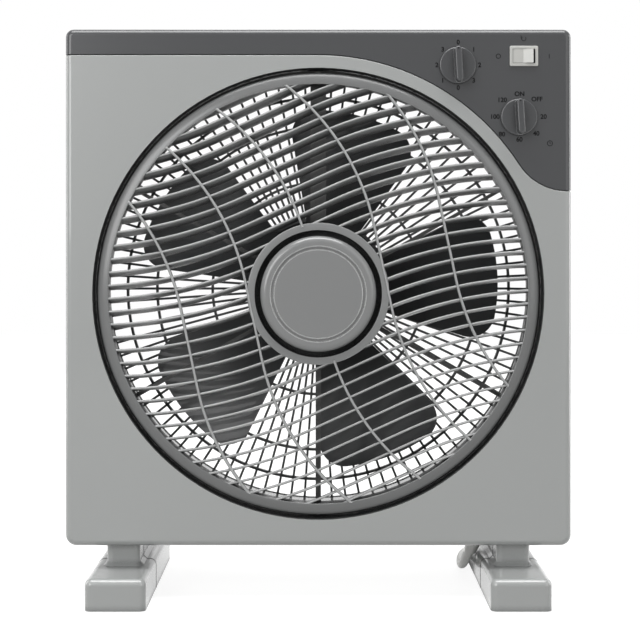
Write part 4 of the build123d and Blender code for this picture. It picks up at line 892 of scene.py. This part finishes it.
ribLines = []
for k in range(-ribSetup["eachSide"], ribSetup["eachSide"] + 1):
    middle = (ribSetup["stepX"] * k, ribSetup["stepZ"] * k)
    ribLines.append(curvedLine(
        middle, 90 + ribSetup["lean"], ribSetup["straight"], ribSetup["bend"], ribSetup["bendAngle"],
    ))
ribs = sweep("louverRibs", ribLines, louverSetup["front"] - ribSetup["proud"], ribSection(ribSetup), level)
cutBy(ribs, cutter, "INTERSECT")
bpy.data.objects.remove(cutter)


def makeRim(louver):
    front, back, skin = louver["front"], louver["front"] + louver["depth"], louver["skin"]
    inner, outer = louver["rimInner"], louver["rimOuter"]
    return lathe("louverRim", [
        (inner, front), ((inner + outer) / 2, front + louver["crown"]),
        (outer, front + louver["tilt"]), (outer, back), (outer - skin, back),
        (outer - skin, front + louver["tilt"] + skin), (inner + skin, front + skin),
        (inner + skin, back), (inner, back),
    ], ringHeight)


def makeHub(louver):
    front, back, skin = louver["front"], louver["front"] + louver["depth"], louver["skin"]
    inner, outer = louver["hubOuter"] - louver["hubWidth"], louver["hubOuter"]
    bossFront = back - skin - louver["bossLength"]
    return lathe("louverHub", [
        (inner, front), (outer, front), (outer, back), (louver["bore"], back),
        (louver["bore"], bossFront), (louver["bossRadius"], bossFront),
        (louver["bossRadius"], back - skin), (inner, back - skin),
    ], ringHeight)


def roundEdges(obj, width, louver):
    bevel = obj.modifiers.new("edges", "BEVEL")
    bevel.width = width
    bevel.segments = louver["edgeSteps"]
    bevel.limit_method = "ANGLE"
    bevel.angle_limit = math.radians(louver["edgeAngle"])
    applyAll(obj)


rim = makeRim(louverSetup)
hub = makeHub(louverSetup)
roundEdges(rim, louverSetup["rimEdge"], louverSetup)
roundEdges(hub, louverSetup["hubEdge"], louverSetup)
louverFinish = {
    "louver_slats": (slats, ribs),
    "louver_rim": (rim,),
    "louver_grey": (hub,),
}
for finishName, pieces in louverFinish.items():
    for obj in pieces:
        softShade(obj, louverSetup["smooth"])
        wearFinish(obj, finishName)
        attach(obj, "louver")
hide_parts("louver_grille")


# painted shade in the seams of the feet

print("seams")
seamSetup = {
    "spacing": 0.292, "footHalf": 0.022, "bottom": 0.0009, "top": 0.0234, "edge": 0.0045,
    "postHalf": 0.0125, "flare": 0.0025, "bodyBottom": 0.041,
    "place": -0.01775, "width": 0.0014, "proud": 0.00012, "sunk": 0.0005, "smooth": 40,
}


def seamOutline(seam, steps=8):
    # one side of a foot and its post, from the floor to the body: (point, outward direction)
    outline = [((seam["footHalf"], seam["bottom"]), (1, 0))]
    for k in range(steps + 1):
        angle = math.pi / 2 * k / steps
        across, up = math.cos(angle), math.sin(angle)
        place = (seam["footHalf"] - seam["edge"] * (1 - across), seam["top"] - seam["edge"] * (1 - up))
        outline.append((place, (across, up)))
    turn = math.radians(45 / 2)   # half way from the flare's slope to the faces beside it
    outline.append(((seam["postHalf"] + seam["flare"], seam["top"]), (math.sin(turn), math.cos(turn))))
    outline.append(((seam["postHalf"], seam["top"] + seam["flare"]), (math.cos(turn), math.sin(turn))))
    outline.append(((seam["postHalf"], seam["bodyBottom"]), (1, 0)))
    return outline


def makeSeamShadeStrips(seam):
    # painted shade: a dark strip over the gap between the feet's front and rear halves
    verts, faces = [], []
    outline = seamOutline(seam)
    near, far = seam["place"] - seam["width"] / 2, seam["place"] + seam["width"] / 2
    corners = ((seam["proud"], near), (seam["proud"], far), (-seam["sunk"], far), (-seam["sunk"], near))
    for centre in (-seam["spacing"] / 2, seam["spacing"] / 2):
        for side in (-1, 1):
            first = len(verts)
            for (across, up), (outX, outZ) in outline:
                for stand, y in corners:
                    verts.append((centre + side * (across + stand * outX), y, up + stand * outZ))
            for k in range(len(outline) - 1):
                here = first + 4 * k
                for j in range(4):
                    nxt = (j + 1) % 4
                    faces.append((here + j, here + nxt, here + 4 + nxt, here + 4 + j))
            last = first + 4 * (len(outline) - 1)
            faces.append(tuple(range(first, first + 4)))
            faces.append(tuple(range(last, last + 4)))
    return meshObject("footSeamShade", verts, faces)


footSeamShade = makeSeamShadeStrips(seamSetup)
softShade(footSeamShade, seamSetup["smooth"])
wearFinish(footSeamShade, "pad_rubber")
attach(footSeamShade, "housing")


# dial marks

print("dial marks")
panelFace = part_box("control_panel")[0].y
dialSetup = {
    "size": 0.0047, "bold": 0.00014, "ink": 0.00004, "shift": (0.0004, 0.0004),
    "speed": ["0", "1", "2", "3", "0", "1", "2", "3"],
    "speedReach": (0.0168, 0.0162, 0.0158, 0.0162),
    "timer": ["ON", "OFF", "20", "40", "60", "80", "100", "120"],
    "timerReach": (0.0168, 0.0183, 0.0178, 0.0175),
    "labelStep": 45, "signReach": 0.0188, "signSize": 0.0016, "line": 0.0005,
    "arrowRise": 0.0130, "arrowGap": 50, "arrowHead": 0.0012,
    "clock": (0.0229, -0.0193), "clockSize": 0.0019, "longHand": 0.65, "shortHand": 0.5,
    "dotSize": 0.00055, "dotReach": 0.0112, "knobTurn": 3.5,
}
ink = plastic("printed_ink", {
    **plasticBase, "color": (13, 13, 14), "other": (17, 17, 18), "wornAndHighlightColor": (30, 30, 31),
    "rough": 0.8, "wearAndHighlight": 0.0, "sockets": {"Specular IOR Level": 0.06},
})


def printed(label, x, z):
    # flat raised lettering, centred on its own outline
    dial = dialSetup
    data = bpy.data.curves.new("print", "FONT")
    data.body = label
    data.size = dial["size"]
    data.extrude = dial["ink"]
    data.offset = dial["bold"]
    letters = addObject("print", data)
    graph = bpy.context.evaluated_depsgraph_get()
    mesh = bpy.data.meshes.new_from_object(letters.evaluated_get(graph))
    bpy.data.objects.remove(letters)
    across = [v.co.x for v in mesh.vertices]
    upward = [v.co.y for v in mesh.vertices]
    middle = Vector(((min(across) + max(across)) / 2, (min(upward) + max(upward)) / 2, 0))
    made = addObject("print", mesh)
    upright = Matrix.Rotation(math.radians(90), 4, "X") @ Matrix.Translation(-middle)
    made.matrix_world = Matrix.Translation((x, panelFace - dial["ink"], z)) @ upright
    return made


def stroke(lines):
    # flat printed lines of one width, each through points (x, z)
    half, thick = dialSetup["line"] / 2, 2 * dialSetup["ink"]
    section = [(-half, 0.0, 0.0), (half, 0.0, 0.0), (half, thick, 0.0), (-half, thick, 0.0)]
    return sweep("stroke", lines, panelFace - thick, section, level)


def arc(x, z, radius, start, stop, steps=24):
    points = []
    for k in range(steps + 1):
        a = math.radians(start + (stop - start) * k / steps)
        points.append((x + radius * math.cos(a), z + radius * math.sin(a)))
    return points


def inked(name, parts):
    obj = joinInto(name, parts)
    obj.data.materials.clear()
    obj.data.materials.append(ink)
    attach(obj, "housing")


def dialMarks(name, labels, reaches, cx, cz):
    prints = []
    for k, label in enumerate(labels):
        a = math.radians(90 - dialSetup["labelStep"] * k)
        reach = reaches[k % len(reaches)]
        prints.append(printed(label, cx + reach * math.cos(a), cz + reach * math.sin(a)))
    inked(name, prints)


def middleOf(piece):
    low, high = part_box(piece)
    return (low.x + high.x) / 2, (low.z + high.z) / 2


def rockerMarks(dial):
    # O and I beside the rocker, a turning arrow above it
    cx, cz = middleOf("switch_housing")
    size = dial["signSize"]
    turning = arc(cx, cz + dial["arrowRise"], size, 90 - dial["arrowGap"], dial["arrowGap"] - 270)
    tipX, tipZ = turning[-1]
    barb = dial["arrowHead"]
    head = [(tipX - barb, tipZ + barb), (tipX, tipZ), (tipX - barb, tipZ - barb / 2)]
    inked("rockerMarks", [
        stroke([arc(cx - dial["signReach"], cz, size, 0, 360)]),
        stroke([[(cx + dial["signReach"], cz - size), (cx + dial["signReach"], cz + size)]]),
        stroke([turning]),
        stroke([head]),
    ])


def clockMark(dial, cx, cz):
    x, z = cx + dial["clock"][0], cz + dial["clock"][1]
    size = dial["clockSize"]
    hands = [(x, z + size * dial["longHand"]), (x, z), (x + size * dial["shortHand"], z)]
    inked("clockMark", [stroke([arc(x, z, size, 0, 360)]), stroke([hands])])


def knobDot(name, piece, body, dial):
    # dark dot near the top of the knob's bar
    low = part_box(piece)[0]
    cx, cz = middleOf(piece)
    turn = math.radians(90 + dial["knobTurn"])
    x, z = cx + dial["dotReach"] * math.cos(turn), cz + dial["dotReach"] * math.sin(turn)
    rimPoints = arc(x, z, dial["dotSize"], 0, 330, 11)   # twelve points, the last one short of the first
    count = len(rimPoints)
    verts = [(px, y, pz) for y in (low.y - dial["ink"], low.y + dial["ink"]) for px, pz in rimPoints]
    faces = [tuple(range(count)), tuple(reversed(range(count, 2 * count)))]
    for k in range(count):
        nxt = (k + 1) % count
        faces.append((k, nxt, count + nxt, count + k))
    obj = meshObject(name, verts, faces)
    obj.data.materials.append(ink)
    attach(obj, body)


speedX, speedZ = middleOf("speed_knob")
timerX, timerZ = middleOf("timer_knob")
shiftX, shiftZ = dialSetup["shift"]
dialMarks("speedMarks", dialSetup["speed"], dialSetup["speedReach"], speedX + shiftX, speedZ + shiftZ)
dialMarks("timerMarks", dialSetup["timer"], dialSetup["timerReach"], timerX + shiftX, timerZ + shiftZ)
rockerMarks(dialSetup)
clockMark(dialSetup, timerX, timerZ)
knobDot("speedDot", "speed_knob", "speed_control", dialSetup)
knobDot("timerDot", "timer_knob", "timer_control", dialSetup)


# studio

print("studio")
studioSetup = {
    "floorSize": 6.0,
    "floorColor": (150, 150, 149),
    "floorGlow": 0.88,
    "floorRough": 0.9,
    "floorSheen": 0.1,
    "fibres": (180.0, 6.0, 0.7),  # scale, detail, roughness
    "fibreDarker": 3,
    "lamps": {                    # place, aim, size, power
        "key": ((-1.0, -1.5, 0.75), (-0.05, 0, 0.24), (1.0, 1.0), 13.5),
        "fill": ((1.3, -1.5, 0.7), (0, 0, 0.2), (1.0, 1.3), 5),
        "top": ((0.0, -0.3, 1.5), (0, 0, 0.2), (1.2, 0.8), 21),
        "left": ((-1.1, 0.15, 0.35), (0, 0, 0.25), (0.4, 1.0), 3.5),
        "right": ((1.1, 0.15, 0.35), (0, 0, 0.25), (0.4, 1.0), 5),
        "rear": ((0.4, 1.6, 1.0), (0, 0, 0.25), (1.4, 1.0), 6),
    },
    "sky": 0.25,
}


def cleanRays(tree):
    # rays that should meet plain white: the camera's own, mirrored ones and those through clear parts
    path = node(tree, "ShaderNodeLightPath")
    seen = sums(tree, "MAXIMUM", path.outputs["Is Camera Ray"], path.outputs["Is Glossy Ray"])
    return sums(tree, "MAXIMUM", seen, path.outputs["Is Transmission Ray"])


def makeFloor(studio):
    half = studio["floorSize"] / 2
    corners = [(-half, -half, 0), (half, -half, 0), (half, half, 0), (-half, half, 0)]
    floor = meshObject("floor", corners, [(0, 1, 2, 3)])
    material = bpy.data.materials.new("floorPaper")
    material.use_nodes = True
    tree = material.node_tree
    shader = tree.nodes["Principled BSDF"]
    shader.inputs["Roughness"].default_value = studio["floorRough"]
    shader.inputs["Specular IOR Level"].default_value = studio["floorSheen"]
    coords = node(tree, "ShaderNodeTexCoord").outputs["Object"]
    fibres = noise(tree, coords, *studio["fibres"])
    darker = tone(*(v - studio["fibreDarker"] for v in studio["floorColor"]))
    base = blendColor(tree, fibres, tone(*studio["floorColor"]), darker)
    tree.links.new(base, shader.inputs["Base Color"])
    seen = cleanRays(tree)
    glow = tree.nodes.new("ShaderNodeEmission")
    tree.links.new(sums(tree, "MULTIPLY", seen, studio["floorGlow"]), glow.inputs["Strength"])
    both = tree.nodes.new("ShaderNodeAddShader")
    tree.links.new(shader.outputs[0], both.inputs[0])
    tree.links.new(glow.outputs[0], both.inputs[1])
    tree.links.new(both.outputs[0], tree.nodes["Material Output"].inputs["Surface"])
    floor.data.materials.append(material)


def makeLamps(studio):
    for name, (place, aim, size, power) in studio["lamps"].items():
        data = bpy.data.lights.new(name, "AREA")
        data.shape = "RECTANGLE"
        data.size, data.size_y = size
        data.energy = power
        lamp = addObject(name, data)
        lamp.location = place
        lamp.rotation_euler = (Vector(aim) - Vector(place)).to_track_quat("-Z", "Y").to_euler()


def makeSky(studio):
    world = bpy.data.worlds.new("studio")
    scene.world = world
    world.use_nodes = True
    tree = world.node_tree
    back = tree.nodes["Background"]
    back.inputs["Color"].default_value = (1, 1, 1, 1)
    lift = sums(tree, "ADD", sums(tree, "MULTIPLY", cleanRays(tree), 1 - studio["sky"]), studio["sky"])
    tree.links.new(lift, back.inputs["Strength"])


makeFloor(studioSetup)
makeLamps(studioSetup)
makeSky(studioSetup)
scene.view_settings.view_transform = "Standard"
